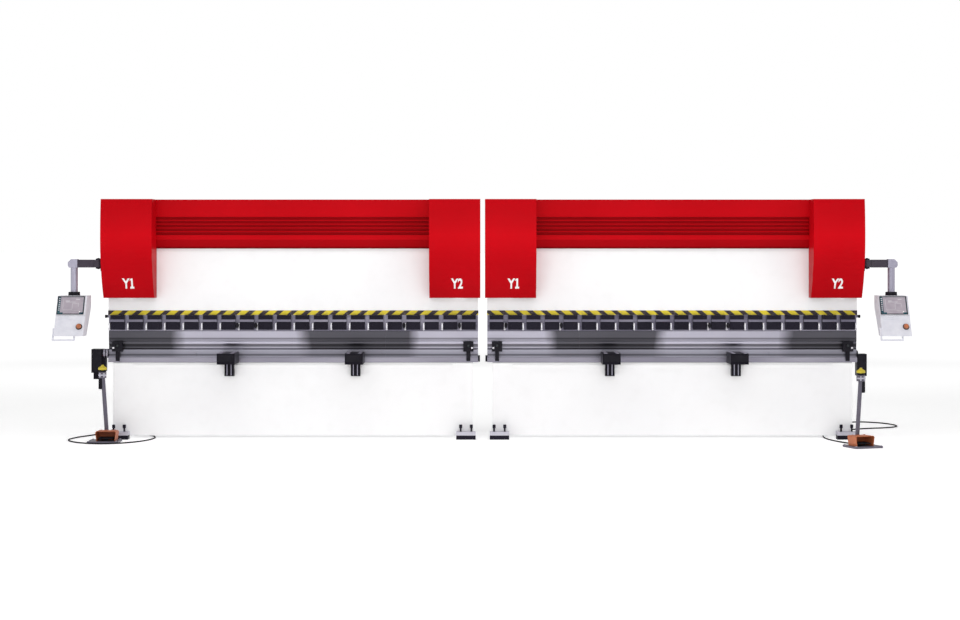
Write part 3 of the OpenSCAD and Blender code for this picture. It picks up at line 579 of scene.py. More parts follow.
brightSteel = steelFinish("brightSteel", {
    "light": colour(0.40, 0.385, 0.45), "deep": colour(0.20, 0.19, 0.24), "lines": (1.5, 300, 300),
    "patches": (0.55, 2.0, 2.0), "gloss": 0.3, "bare": colour(0.72, 0.71, 0.77)})
holderSteel = steelFinish("holderSteel", {
    "light": colour(0.30, 0.285, 0.35), "deep": colour(0.11, 0.102, 0.145), "lines": (1.2, 260, 260),
    "patches": (0.8, 3.0, 6.0), "gloss": 0.32, "bare": colour(0.6, 0.59, 0.66)})
leverSteel = steelFinish("leverSteel", {
    "light": colour(0.80, 0.79, 0.83), "deep": colour(0.66, 0.65, 0.70), "lines": (60, 60, 3),
    "gloss": 0.3, "bare": colour(0.85, 0.84, 0.88), "metal": 0.75})
punchSteel = toolFinish("punchSteel", {
    "light": colour(0.50, 0.485, 0.57), "deep": colour(0.41, 0.395, 0.47), "lines": (1.2, 260, 260),
    "gloss": 0.28, "bare": colour(0.7, 0.69, 0.75), "reflectionDarkShare": 0.2,
    # painted highlight and painted shade bands up the punch, set by height
    "steps": [(0.954, 0.55), (0.976, 0.6), (0.980, 0.85), (0.990, 0.8), (0.996, 0.3), (1.020, 0.3),
              (1.026, 1.05), (1.052, 1.05), (1.056, 0.72), (1.070, 0.72), (1.074, 0.45), (1.088, 0.45),
              (1.092, 0.96), (1.150, 1.0), (1.160, 0.8)]})
dieSteel = toolFinish("dieSteel", {
    "light": colour(0.36, 0.355, 0.42), "deep": colour(0.30, 0.292, 0.35), "lines": (1.2, 260, 260),
    "gloss": 0.32, "bare": colour(0.6, 0.59, 0.65), "reflectionDarkShare": 0.72,
    # painted highlight and painted shade bands up the die, set by height
    "steps": [(0.858, 0.55), (0.878, 0.95), (0.892, 0.95), (0.898, 0.36), (0.912, 0.36), (0.918, 0.86),
              (0.950, 1.0), (0.962, 1.15)]})
darkSteel = steelFinish("blackenedSteel", {
    "light": colour(0.017, 0.0145, 0.026), "deep": colour(0.008, 0.0065, 0.013), "lines": (30, 30, 30),
    "gloss": 0.36, "bare": colour(0.11, 0.105, 0.135), "metal": 0.8, "edgeMark": 0.8})
chrome = steelFinish("chromedSteel", {
    "light": colour(0.8, 0.8, 0.83), "deep": colour(0.7, 0.7, 0.74), "lines": (80, 80, 2),
    "gloss": 0.08, "bare": colour(0.85, 0.85, 0.87), "metal": 1.0})
anodised = steelFinish("anodisedAluminium", {
    "light": colour(0.44, 0.425, 0.52), "deep": colour(0.34, 0.325, 0.41), "lines": (90, 90, 4),
    "gloss": 0.38, "bare": colour(0.6, 0.59, 0.66), "metal": 0.7, "edge": 0.003})
footSteel = steelFinish("platedSteel", {
    "light": colour(0.60, 0.585, 0.66), "deep": colour(0.48, 0.465, 0.53), "lines": (40, 40, 40),
    "gloss": 0.4, "bare": colour(0.75, 0.74, 0.8), "metal": 0.6})
blackPlastic = plasticFinish("blackPlastic", {
    "light": colour(0.0075, 0.0065, 0.011), "deep": colour(0.013, 0.012, 0.017), "gloss": 0.36,
    "shine": 0.12})
pendantPlastic = plasticFinish("pendantPlastic", {
    "light": colour(0.74, 0.74, 0.80), "deep": colour(0.66, 0.66, 0.73), "gloss": 0.4, "depth": 0.1})
yellowPlastic = plasticFinish("yellowPlastic", {
    "light": colour(0.62, 0.50, 0.035), "deep": colour(0.52, 0.42, 0.03), "gloss": 0.3, "depth": 0.06})
knobPlastic = plasticFinish("knobPlastic", {
    "light": colour(0.46, 0.185, 0.10), "deep": colour(0.36, 0.135, 0.075), "gloss": 0.3, "depth": 0.06})
cableRubber = plasticFinish("cableRubber", {
    "light": colour(0.006, 0.0055, 0.008), "deep": colour(0.013, 0.012, 0.015), "gloss": 0.5,
    "grain": 1400.0, "shine": 0.12})
labelWhite = plasticFinish("labelWhite", {
    "light": colour(0.92, 0.9, 0.9), "deep": colour(0.86, 0.84, 0.84), "gloss": 0.35, "depth": 0.03})
screenGrey = plasticFinish("screenGrey", {
    "light": colour(0.40, 0.35, 0.40), "deep": colour(0.33, 0.29, 0.34), "gloss": 0.12, "depth": 0.0})
screenTeal = plasticFinish("screenTeal", {
    "light": colour(0.008, 0.085, 0.11), "deep": colour(0.004, 0.03, 0.055), "gloss": 0.12, "depth": 0.0})
lensGlass = plasticFinish("lensGlass", {
    "light": colour(0.010, 0.016, 0.022), "deep": colour(0.005, 0.008, 0.012), "gloss": 0.08, "depth": 0.0})
screenLine = plasticFinish("screenLine", {
    "light": colour(0.7, 0.68, 0.72), "deep": colour(0.6, 0.58, 0.63), "gloss": 0.15, "depth": 0.0})


def hazardFinish():
    # diagonal bands that run up towards the middle of the pair
    material, tree, shader = newMaterial("hazardPaint")
    spot = addNode(tree, "SeparateXYZ", Vector=addNode(tree, "TexCoord").outputs["Object"])
    along = mathNode(tree, "ABSOLUTE", spot.outputs["X"])
    slant = mathNode(tree, "MULTIPLY_ADD", spot.outputs["Z"], 1.15, along)
    wave = mathNode(tree, "FRACT", mathNode(tree, "DIVIDE", slant, 0.1525))
    band = mathNode(tree, "GREATER_THAN", wave, 0.56)
    wear = spread(tree, objectNoise(tree, 45.0, 6), 0.56, 0.70)
    yellow = mixColour(tree, objectNoise(tree, 3.0, 3), colour(0.66, 0.52, 0.02), colour(0.74, 0.60, 0.04))
    paint = mixColour(tree, band, yellow, colour(0.03, 0.02, 0.028))
    worn = mixColour(tree, mathNode(tree, "MULTIPLY", wear, 0.35), paint, colour(0.25, 0.22, 0.2))
    tree.links.new(worn, shader.inputs["Base Color"])
    tree.links.new(spread(tree, wear, 0, 1, 0.38, 0.6), shader.inputs["Roughness"])
    addBump(tree, shader, wear, 0.1, 0.0003)
    shader.inputs["Specular IOR Level"].default_value = 0.3
    return material


hazardPaint = hazardFinish()


def floorFinish():
    # pale everywhere, and evened out far from the lights
    material, tree, shader = newMaterial("paleFloor")
    tone = mixColour(tree, objectNoise(tree, 0.4, 2), colour(0.93, 0.93, 0.93), colour(0.95, 0.95, 0.95))
    reach = addNode(tree, "VectorMath", {"operation": "LENGTH"})
    tree.links.new(addNode(tree, "TexCoord").outputs["Object"], reach.inputs[0])
    tree.links.new(tone, shader.inputs["Base Color"])
    tree.links.new(spread(tree, reach.outputs["Value"], 7, 20, 0.38, 0.8), shader.inputs["Emission Strength"])
    shader.inputs["Emission Color"].default_value = (1, 1, 1, 1)
    shader.inputs["Roughness"].default_value = 0.7
    shader.inputs["Specular IOR Level"].default_value = 0.1
    return material


bpy.ops.mesh.primitive_plane_add(size=900, location=(0, 0, 0))
floor = bpy.context.object
floor.name = "floor"
dress(floor, floorFinish())
print("studio and finishes made")


# The CAD nodes' finishes

nodeFinish = {
    whitePaint: ["side_frames", "beds", "oil_tanks", "cabinets", "support_rails", "*_ram",
                 "*_cabinet_door"],
    coverRed: ["left_cylinder_covers", "right_cylinder_covers"],
    beamRed: ["beam_covers"],
    darkPaint: ["cylinders", "crowning_drives", "pendant_brackets", "*_outer_support", "*_inner_support"],
    greyPaint: ["pump_motors", "pedal_bases", "pedal_poles"],
    orangePaint: ["pedal_hoods"],
    brightSteel: ["valve_blocks", "ram_guides", "door_hinges", "die_rails", "gauge_rails"],
    dieSteel: ["dies"],
    holderSteel: ["*_tool_holder"],
    leverSteel: ["*_clamp_levers"],
    punchSteel: ["*_punch"],
    darkSteel: ["levelling_bolts", "*_clamps"],
    chrome: ["*_piston_rods"],
    anodised: ["*_gauge_beam", "*_outer_finger", "*_inner_finger", "*_pendant_arm"],
    footSteel: ["feet"],
    blackPlastic: ["light_guards", "*_treadle"],
    pendantPlastic: ["*_pendant_housing"],
    yellowPlastic: ["*_pole_stop"],
    knobPlastic: ["*_pendant_knob"],
    cableRubber: ["*_pedal_cable"],
}
for material, names in nodeFinish.items():
    for name in names:
        for side in ("left", "right") if "*" in name else ("",):
            node = nodes[name.replace("*", side)]
            if not node.material_slots:
                node.data.materials.append(material)
            for holder in node.material_slots:
                holder.material = material
print("CAD nodes dressed")


# Pedal cables

pedalCable = {"radius": 0.0075, "reliefLength": 0.035}
cableRoutes = {
    "left": {
        "length": 4.195, "out": (0, 1, 0), "in": (1, 0, 0),
        "points": [
            (-4.055, -0.3682, 0.012), (-4.063, -0.290, 0.0105), (-4.115, -0.120, 0.009),
            (-4.060, 0.110, 0.008), (-3.900, 0.230, 0.008), (-3.700, 0.190, 0.008),
            (-3.580, 0.010, 0.008), (-3.550, -0.230, 0.008), (-3.640, -0.500, 0.008),
            (-3.830, -0.700, 0.008), (-4.060, -0.745, 0.008), (-4.300, -0.610, 0.008),
            (-4.435, -0.365, 0.008), (-4.400, -0.100, 0.008), (-4.290, 0.130, 0.008),
            (-4.200, 0.400, 0.008), (-4.180, 0.620, 0.009), (-4.175, 0.790, 0.011),
            (-4.165, 0.885, 0.032), (-4.120, 0.945, 0.095), (-4.074, 0.950, 0.120)]},
    "right": {
        "length": 4.207, "out": (-0.342, 0.940, 0), "in": (-1, 0, 0),
        "points": [
            (3.9145, -0.8612, 0.012), (3.885, -0.780, 0.0105), (3.800, -0.600, 0.009),
            (3.730, -0.380, 0.008), (3.700, -0.150, 0.008), (3.740, 0.150, 0.008),
            (3.860, 0.450, 0.008), (4.090, 0.700, 0.008), (4.350, 0.880, 0.008),
            (4.600, 0.975, 0.008), (4.750, 1.110, 0.008), (4.775, 1.300, 0.008),
            (4.680, 1.530, 0.008), (4.460, 1.680, 0.008), (4.260, 1.590, 0.008),
            (4.180, 1.380, 0.008), (4.175, 1.240, 0.009), (4.175, 1.090, 0.011),
            (4.165, 1.000, 0.032), (4.120, 0.955, 0.095), (4.074, 0.950, 0.120)]},
}


def layCable(side, route):
    points = [Vector(point) for point in route["points"]]
    curve = bpy.data.curves.new(side + "PedalCable", "CURVE")
    curve.dimensions = "3D"
    curve.bevel_depth = pedalCable["radius"]
    curve.bevel_resolution = 4
    curve.resolution_u = 8
    curve.use_fill_caps = True
    line = curve.splines.new("BEZIER")
    line.bezier_points.add(len(points) - 1)
    for index, knot in enumerate(line.bezier_points):
        before, after = points[max(index - 1, 0)], points[min(index + 1, len(points) - 1)]
        reach = (after - before) / 6
        if index == 0:
            reach = Vector(route["out"]) * (after - before).length / 3
        if index == len(points) - 1:
            reach = Vector(route["in"]) * (after - before).length / 3
        knot.co = points[index]
        knot.handle_left_type = knot.handle_right_type = "FREE"
        knot.handle_left, knot.handle_right = points[index] - reach, points[index] + reach
    cable = bpy.data.objects.new(side + "PedalCable", curve)
    bpy.context.scene.collection.objects.link(cable)
    cable.data.materials.append(cableRubber)
    return cable


def strainRelief(name, start, direction):
    # ribbed sleeve, tapering along the cable
    start, direction = Vector(start), Vector(direction).normalized()
    radius, length = pedalCable["radius"], pedalCable["reliefLength"]
    sleeve = startRod(name, radius + 0.003, start, start + direction * length, 20, radius + 0.0008)
    cutAlong(sleeve, direction, 7)
    ring = [0.0012 if step % 2 else 0.0 for step in range(9)]
    for spot in sleeve.data.vertices:
        share = (spot.co - start).dot(direction) / length
        out = spot.co - start - direction * (spot.co - start).dot(direction)
        if out.length > 0.001:
            spot.co -= out.normalized() * ring[round(share * 8)]
    return dress(soften(sleeve, 0.0003, 1), blackPlastic)


for side, route in cableRoutes.items():
    cable = layCable(side, route)
    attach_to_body(cable, "frame")
    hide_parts(side + "_pedal_cable")
    reliefs = [
        strainRelief(side + "PedalRelief", route["points"][0], route["out"]),
        strainRelief(side + "CabinetRelief", route["points"][-1], -Vector(route["in"])),
    ]
    for relief in reliefs:
        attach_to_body(relief, "frame")
print("cables laid")


# Cylinder covers' axis labels

axisLabel = {"height": 0.110, "width": 0.127, "middle": 1.682, "lift": 0.0006,
             "thickness": 0.0012, "weight": 0.0058}
axisPlaces = {"leftOuterLabel": ("Y1", -3.795), "leftInnerLabel": ("Y2", -0.276),
              "rightInnerLabel": ("Y1", 0.327), "rightOuterLabel": ("Y2", 3.795)}


def coverFront(z):
    # the covers' front plane falls back below its crown
    low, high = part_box("left_cylinder_covers")
    crown = low.z + 0.62 * (high.z - low.z)
    return low.y + 0.18 * (max(crown - z, 0) / (crown - low.z)) ** 2.2


def flatBar(corners):
    bpy.ops.object.select_all(action="DESELECT")
    bpy.ops.mesh.primitive_plane_add(size=1, rotation=(math.radians(90), 0, 0))
    bar = settle(bpy.context.object)
    order = [bar.data.loops[loop].vertex_index for loop in bar.data.polygons[0].loop_indices]
    for index, (x, z) in zip(order, corners):
        bar.data.vertices[index].co = (x, 0, z)
    focus(bar)
    bpy.ops.object.mode_set(mode="EDIT")
    bpy.ops.mesh.select_all(action="SELECT")
    bpy.ops.mesh.subdivide(number_cuts=1)
    done()
    return bar


def figureOne(piece):
    # a foot and a flag for the plain stroke of the font's figure
    spots = [spot.co for spot in piece.data.vertices]
    low, high = min(s.z for s in spots), max(s.z for s in spots)
    right = max(s.x for s in spots)
    stroke = [s.x for s in spots if s.x > right - 0.03 and s.z < low + 0.02]
    left = min(stroke)
    thick = max(stroke) - left
    foot = flatBar([(left - 0.019, low), (right + 0.019, low), (right + 0.019, low + thick * 0.9),
                    (left - 0.019, low + thick * 0.9)])
    flag = flatBar([(left - 0.020, high - 0.034), (left + 0.004, high - 0.016), (left + 0.004, high),
                    (left - 0.020, high - 0.018)])
    return [foot, flag]


def axisLabelPiece(name, words, x):
    bpy.ops.object.select_all(action="DESELECT")
    bpy.ops.object.text_add(rotation=(math.radians(90), 0, 0))
    piece = bpy.context.object
    piece.name = name
    piece.data.body = words
    piece.data.size = 0.18
    piece.data.offset = axisLabel["weight"]
    piece.data.align_x = "CENTER"
    bpy.ops.object.convert(target="MESH")
    settle(bpy.context.object)
    if words.endswith("1"):
        piece = joined(name, [piece, *figureOne(piece)])
    spots = [spot.co for spot in piece.data.vertices]
    left, right = min(s.x for s in spots), max(s.x for s in spots)
    low, high = min(s.z for s in spots), max(s.z for s in spots)
    for spot in spots:
        spot.x = x + (spot.x - (left + right) / 2) * axisLabel["width"] / (right - left)
        spot.z = axisLabel["middle"] + (spot.z - (low + high) / 2) * axisLabel["height"] / (high - low)
    focus(piece)
    bpy.ops.object.mode_set(mode="EDIT")
    for step in range(-6, 7):
        bpy.ops.mesh.select_all(action="SELECT")
        bpy.ops.mesh.bisect(plane_co=(0, 0, axisLabel["middle"] + step * 0.01), plane_no=(0, 0, 1))
    bpy.ops.mesh.select_all(action="SELECT")
    bpy.ops.mesh.remove_doubles(threshold=0.00002)
    done()
    for spot in piece.data.vertices:
        spot.co.y = coverFront(spot.co.z) - axisLabel["lift"]
    useModifier(piece, "SOLIDIFY", thickness=axisLabel["thickness"], offset=1)
    dress(piece, labelWhite)
    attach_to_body(piece, "frame")


for name, (words, x) in axisPlaces.items():
    axisLabelPiece(name, words, x)


# Cover screws: two rows down each outer wall

coverScrew = {"radius": 0.011, "height": 0.004, "rear": 0.02, "front": -0.28,
              "rearHeights": (1.60, 1.80, 2.15, 2.45), "frontHeights": (2.15, 2.45)}
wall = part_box("right_cylinder_covers")[1].x
lowest = coverScrew["rearHeights"][0]
screw = startRod("coverScrew", coverScrew["radius"], (wall, coverScrew["rear"], lowest),
                 (wall + coverScrew["height"], coverScrew["rear"], lowest), 16)
insetFaces(screw, toRight, 0.005, -0.0025)
soften(screw, 0.0012, 2)
forward = coverScrew["front"] - coverScrew["rear"]
screws = repeated(screw, "CoverScrews", [(0, 0, z - lowest) for z in coverScrew["rearHeights"]]
                  + [(0, forward, z - lowest) for z in coverScrew["frontHeights"]])
fitPair(screws, "CoverScrews", "frame", darkSteel)


# Hazard strips along the foot of each ram

hazardStrip = {"low": 1.3375, "high": 1.386, "thickness": 0.003, "seat": -0.1403, "overhang": 0.004}
ramLow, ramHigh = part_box("right_ram")
seat, overhang = hazardStrip["seat"], hazardStrip["overhang"]
strip = startBlock("HazardStrip", (ramLow.x - overhang, seat - hazardStrip["thickness"], hazardStrip["low"]),
                   (ramHigh.x + overhang, seat, hazardStrip["high"]))
fitPair(soften(strip, 0.0008, 2), "HazardStrip", "ram_body", hazardPaint)


# Clamp screws: two on each upper and two on each lower block

clampScrew = {"radius": 0.0085, "height": 0.006, "across": (0.035, 0.115), "count": 20, "pitch": 0.2,
              "first": 0.075, "seats": ((-0.170, 1.313), (-0.162, 1.222))}


def socketScrew(name, place, radius, height):
    x, y, z = place
    piece = startRod(name, radius, (x, y, z), (x, y - height, z), 12)
    insetFaces(piece, toFront, radius * 0.42, -height * 0.6)
    return piece


screws = joined("clampScrew", [
    socketScrew("clampScrew", (clampScrew["first"], *seat), clampScrew["radius"], clampScrew["height"])
    for seat in clampScrew["seats"]])
screws = repeated(screws, "ClampScrews", [
    (index * clampScrew["pitch"] + across, 0, 0)
    for index in range(clampScrew["count"]) for across in clampScrew["across"]])
fitPair(screws, "ClampScrews", "ram_body", darkSteel)

# Chamfered cover strips along the clamp blocks, with a lighter worn lip
clampLip = {"seat": -0.162, "depth": 0.0022, "height": 0.006, "span": (0.002, 0.148), "levels": (1.182, 1.2545)}
left, right = (clampScrew["first"] + across for across in clampLip["span"])
lips = [startBlock("lip", (left, clampLip["seat"] - clampLip["depth"], z),
                   (right, clampLip["seat"], z + clampLip["height"])) for z in clampLip["levels"]]
lips = joined("clampLip", [soften(lip, 0.0009, 1) for lip in lips])
lips = repeated(lips, "ClampLips", [(index * clampScrew["pitch"], 0, 0)
                                    for index in range(clampScrew["count"])])
fitPair(lips, "ClampLips", "ram_body", darkPaint)


# Oval release grips on some of the clamp levers

leverGrip = {"places": (0.25, 0.85, 2.45, 2.65), "halfWidth": 0.0165, "halfHeight": 0.031,
             "height": 1.226}


def leverGripPiece(x):
    z = leverGrip["height"]
    grip = startRod("grip", leverGrip["halfWidth"], (x, -0.170, z), (x, -0.196, z), 28)
    insetFaces(grip, toFront, 0.006, 0.004)
    stretch = leverGrip["halfHeight"] / leverGrip["halfWidth"]
    for spot in grip.data.vertices:
        spot.co.z = z + (spot.co.z - z) * stretch
    soften(grip, 0.004, 3)
    stem = startRod("stem", 0.006, (x - 0.006, -0.148, z), (x - 0.006, -0.172, z), 16)
    insetFaces(stem, toRear, 0.001, 0.001)
    return joined("LeverGrip", [grip, stem])


grips = joined("LeverGrips", [leverGripPiece(x) for x in leverGrip["places"]])
fitPair(grips, "LeverGrips", "clamp_levers_body", blackPlastic)

# Turned knob on the tool holder's outer end
endKnob = {"radius": 0.019, "neck": 0.7, "start": 4.060, "length": 0.032, "axis": (-0.1, 1.321)}
knob = startRod("EndKnob", endKnob["radius"] * endKnob["neck"], (endKnob["start"], *endKnob["axis"]),
                (endKnob["start"] + endKnob["length"], *endKnob["axis"]), 28, endKnob["radius"])
insetFaces(knob, toRight, 0.005, 0.003)
fitPair(soften(knob, 0.003, 3), "EndKnob", "ram_body", blackPlastic)


# Light guards: lens, lens hood and a bright clamp plate on each box

lightGuard = {"places": (0.155, 3.945), "front": -0.205, "lensHeight": 1.005, "plateHeight": 0.984}


def lightGuardTrim(x):
    front = lightGuard["front"]
    eye, middle = lightGuard["lensHeight"], lightGuard["plateHeight"]
    hood = startRod("hood", 0.021, (x, front, eye), (x, front - 0.010, eye), 28)
    hood = finished(hood, toFront, (0.004, -0.007), (0.001, 2), blackPlastic)
    outer = x + 0.040 if x > 2 else x - 0.040
    plate = startBlock("plate", (outer - 0.010, front - 0.004, middle - 0.009),
                       (outer + 0.010, front, middle + 0.009))
    plate = finished(plate, toFront, (0.002, -0.0008), (0.0012, 2), leverSteel)
    lens = startRod("lens", 0.0155, (x, front - 0.001, eye), (x, front - 0.0035, eye), 28)
    lens = finished(lens, toFront, (0.005, 0.0015), (0.0012, 2), lensGlass)
    return [hood, plate, lens]


guardTrim = joined("LightGuardTrim", [part for x in lightGuard["places"] for part in lightGuardTrim(x)])
fitPair(guardTrim, "LightGuardTrim", "frame", None)


# Sheet supports: slide strips on the head and T-slot edges on the carriage

sheetSupport = {"outer": 2.730, "inner": 1.370, "top": 0.940}


def supportTrim(x):
    top = sheetSupport["top"]
    strips = []
    for across in (-0.062, 0.062):
        strip = startBlock("strip", (x + across - 0.017, -0.522, top),
                           (x + across + 0.017, -0.183, top + 0.005))
        strips.append(finished(strip, toTop, (0.004, -0.0012), (0.0012, 2), anodised))
    for across in (-0.026, 0.018):
        edge = startBlock("edge", (x + across, -0.2535, 0.690), (x + across + 0.009, -0.250, 0.8245))
        strips.append(finished(edge, toFront, (0.0025, -0.001), (0.0008, 2), anodised))
    nose = startBlock("nose", (x - 0.088, -0.534, 0.853), (x + 0.088, -0.530, 0.925))
    strips.append(finished(nose, toFront, (0.010, -0.0016), (0.0015, 2), blackPlastic))
    return joined("SupportTrim", strips)


for place in ("outer", "inner"):
    fitPair(supportTrim(sheetSupport[place]), place.capitalize() + "SupportTrim",
            place + "_support_body", None)


# Crowning drives: grooved collar on the left one, and a screwed lid on both

crowning = {
    "radius": 0.0505, "axisY": -0.1, "axisZ": 0.920, "from": -4.111, "to": -4.056,
    "left": (-4.226, -4.122, 0.722, 0.958), "right": (4.058, 4.146, 0.687, 0.905),
    "lidSeat": -0.16, "lidDepth": 0.006,
}


def grooveCollar():
    collar = startRod("leftCrowningCollar", crowning["radius"],
                      (crowning["from"], crowning["axisY"], crowning["axisZ"]),
                      (crowning["to"], crowning["axisY"], crowning["axisZ"]), 40)
    cutAlong(collar, (1, 0, 0), 7)
    for spot in collar.data.vertices:
        share = (spot.co.x - crowning["from"]) / (crowning["to"] - crowning["from"])
        waist = 0.87 if 0.4 < share < 0.6 else 0.96 if share < 0.05 or share > 0.95 else 1.0
        spot.co.y = crowning["axisY"] + (spot.co.y - crowning["axisY"]) * waist
        spot.co.z = crowning["axisZ"] + (spot.co.z - crowning["axisZ"]) * waist
    return dress(soften(collar, 0.002, 2), brightSteel)


def crowningLid(side):
    left, right, low, high = crowning[side]
    front = crowning["lidSeat"] - crowning["lidDepth"]
    lid = startBlock("lid", (left, front, low), (right, crowning["lidSeat"], high))
    insetFaces(lid, toFront, 0.012, -0.002)
    corners = [(x, front, z) for x in (left + 0.007, right - 0.007) for z in (low + 0.008, high - 0.008)]
    screws = [socketScrew("lidScrew", corner, 0.005, 0.003) for corner in corners]
    return dress(joined(side + "CrowningLid", [soften(lid, 0.002, 2), *screws]), blackPlastic)


attach(grooveCollar(), "left", "frame")
for side in ("left", "right"):
    attach(crowningLid(side), side, "frame")

# Dark end caps on the inner ends of the die rails
railCap = {"low": (0.0292, -0.157, 0.832), "high": (0.0498, -0.043, 0.898)}
cap = startBlock("RailCap", railCap["low"], railCap["high"])
insetFaces(cap, toLeft, 0.010, -0.002)
fitPair(soften(cap, 0.003, 2), "RailCap", "frame", darkPaint)
print("tool and bed details made")


# Pendants: both have their screen and stop button the same way round

pendant = {
    "tube": 4.380, "foot": (-0.627, 1.129), "slope": math.degrees(math.atan(207 / 423)),
    "screen": (-0.150, 0.138, 0.252, 0.463), "keyRows": 7, "knob": (0.103, 0.110),
    "profile": (  # a bend profile and its measure lines
        (-0.09, -0.088, 0.31, 0.43), (-0.09, 0.01, 0.31, 0.312), (0.01, 0.012, 0.31, 0.38),
        (0.01, 0.075, 0.38, 0.382), (0.075, 0.077, 0.34, 0.382), (-0.10, 0.09, 0.296, 0.297),
        (-0.06, -0.02, 0.405, 0.411), (-0.06, 0.04, 0.394, 0.398), (0.045, 0.085, 0.425, 0.431)),
}


def panelPlace(side):
    across = pendant["tube"] * (1 if side == "right" else -1)
    return (Matrix.Translation((across, *pendant["foot"]))
            @ Matrix.Rotation(math.radians(90 - pendant["slope"]), 4, "X"))


def screenTile(material, low, high, rounding=0.0006):
    return dress(soften(startBlock("tile", low, high), rounding, 1), material)


def pendantScreen():
    left, right, low, high = pendant["screen"]
    bezel = startBlock("bezel", (left, low, 0.0003), (right, high, 0.0065))
    parts = [finished(bezel, toTop, (0.007, -0.0035), (0.0012, 2), blackPlastic)]
    for material, near, far in (
            (screenTeal, (left + 0.008, low + 0.008, 0.0028), (right - 0.008, high - 0.008, 0.0034)),
            (screenGrey, (left + 0.034, low + 0.024, 0.0033), (right - 0.012, high - 0.009, 0.0040)),
            (screenGrey, (left + 0.066, low + 0.009, 0.0033), (right - 0.048, low + 0.026, 0.0039))):
        parts.append(screenTile(material, near, far))
    for row in range(pendant["keyRows"]):
        y = high - 0.030 - row * 0.0225
        near, far = (left + 0.014, y, 0.0033), (left + 0.028, y + 0.0095, 0.0038)
        parts.append(screenTile(screenLine, near, far, 0.0003))
    for x0, x1, y0, y1 in pendant["profile"]:
        parts.append(screenTile(screenLine, (x0, y0, 0.0039), (x1, y1, 0.0043), 0.0002))
    dot = startRod("dot", 0.0065, (0.094, 0.284, 0.0039), (0.094, 0.284, 0.0048), 24)
    insetFaces(dot, toTop, 0.002, 0.0003)
    parts.append(dress(dot, labelWhite))
    return joined("Screen", parts)


def pendantTrim():
    # parting line, key row and the stop button's seat
    x, y = pendant["knob"]
    seat = startRod("seat", 0.0350, (x, y, 0.0003), (x, y, 0.0060), 40, 0.0342)
    parts = [finished(seat, toTop, (0.0052, -0.0054), (0.0012, 2), blackPlastic)]
    band = startBlock("band", (-0.1582, 0.2365, -0.002), (0.1582, 0.2385, 0.0008))
    insetFaces(band, toTop, 0.0005, -0.0002)
    parts.append(dress(band, darkPaint))
    for index in range(4):
        x = -0.125 + index * 0.036
        key = startBlock("key", (x, 0.196, 0.0002), (x + 0.024, 0.216, 0.0042))
        parts.append(finished(key, toTop, (0.003, -0.0008), (0.0015, 2), pendantPlastic))
    return joined("PanelTrim", parts)


def knobFace():
    x, y = pendant["knob"]
    face = startRod("face", 0.0185, (x, y, 0.0278), (x, y, 0.0302), 36, 0.0165)
    return finished(face, toTop, (0.008, -0.0012), (0.0008, 2), orangePaint)


for side in ("left", "right"):
    for piece, name, body, slot in (
            (pendantScreen(), "Screen", "pendant_housing_body", "black_plastic"),
            (pendantTrim(), "PanelTrim", "pendant_housing_body", "pendant_plastic"),
            (knobFace(), "KnobFace", "pendant_knob_body", "knob_plastic")):
        piece.data.transform(panelPlace(side))
        piece.name = side + name
        attach(piece, side, body)

# Dark cladding on the arm's level run, and the black boot over the tube's flange
pendantArm = {"from": 4.162, "to": 4.3385, "y": (-0.3605, -0.2995), "z": (1.8525, 1.9375)}
cladding = startBlock("ArmCladding", (pendantArm["from"], pendantArm["y"][0], pendantArm["z"][0]),
                      (pendantArm["to"], pendantArm["y"][1], pendantArm["z"][1]))
insetFaces(cladding, endsOn("y"), 0.022, -0.0012, each=True)
cladding = soften(cladding, 0.003, 2)
sleeve = startRod("sleeve", 0.0305, (4.120, -0.33, 1.8555), (4.120, -0.33, 1.9335), 40)
insetFaces(sleeve, endsOn("z"), 0.0008, -0.0004, each=True)
shoulder = startBlock("shoulder", (4.120, -0.3605, 1.8556), (4.166, -0.2995, 1.9334))
insetFaces(shoulder, endsOn("y"), 0.012, -0.001, each=True)
cladding = joined("ArmCladding", [cladding, soften(sleeve, 0.001, 2), soften(shoulder, 0.004, 2)])
fitPair(cladding, "ArmCladding", "pendant_arm_body", armPaint)

pendantBoot = {"low": 1.5526, "top": 1.5925, "lowRadius": 0.0638, "topRadius": 0.0618,
               "folds": 6, "waist": 0.985}
middle = Vector((pendant["tube"], -0.33, 0))
boot = startRod("PendantBoot", pendantBoot["lowRadius"], (*middle.xy, pendantBoot["low"]),
                (*middle.xy, pendantBoot["top"]), 48, pendantBoot["topRadius"])
cutAlong(boot, (0, 0, 1), pendantBoot["folds"] - 1)
for spot in boot.data.vertices:
    share = (spot.co.z - pendantBoot["low"]) / (pendantBoot["top"] - pendantBoot["low"])
    pull = pendantBoot["waist"] if round(share * pendantBoot["folds"]) % 2 else 1.0
    spot.co.x = middle.x + (spot.co.x - middle.x) * pull
    spot.co.y = middle.y + (spot.co.y - middle.y) * pull
fitPair(soften(boot, 0.002, 2), "PendantBoot", "pendant_arm_body", blackPlastic)
print("pendant details made")


# Pedal stations, drawn about their own middle and then put in place

station = {
    "right": Matrix.Translation((3.933, -1.029, 0)) @ Matrix.Rotation(math.radians(20), 4, "Z"),
    "left": Matrix.Translation((-4.015, -0.532, 0)) @ mirrorX,
    "poleHead": (0.042, 0.105), "poleFoot": (-0.008, 0.105), "poleTop": 0.745, "hood": -0.030,
}


def fitStations(piece, name, body, material):
    dress(piece, material)
    for side in ("left", "right"):
        attach(copyOf(piece, side + name, station[side]), side, body)
    bpy.data.objects.remove(piece)


def treadRibs():
    ribs = []
    for index in range(8):
        y = -0.082 + index * 0.0155
        rib = startBlock("rib", (station["hood"] - 0.070, y, 0.0520),
                         (station["hood"] + 0.070, y + 0.007, 0.0555))
        ribs.append(soften(rib, 0.0012, 2))
    return joined("TreadRibs", ribs)


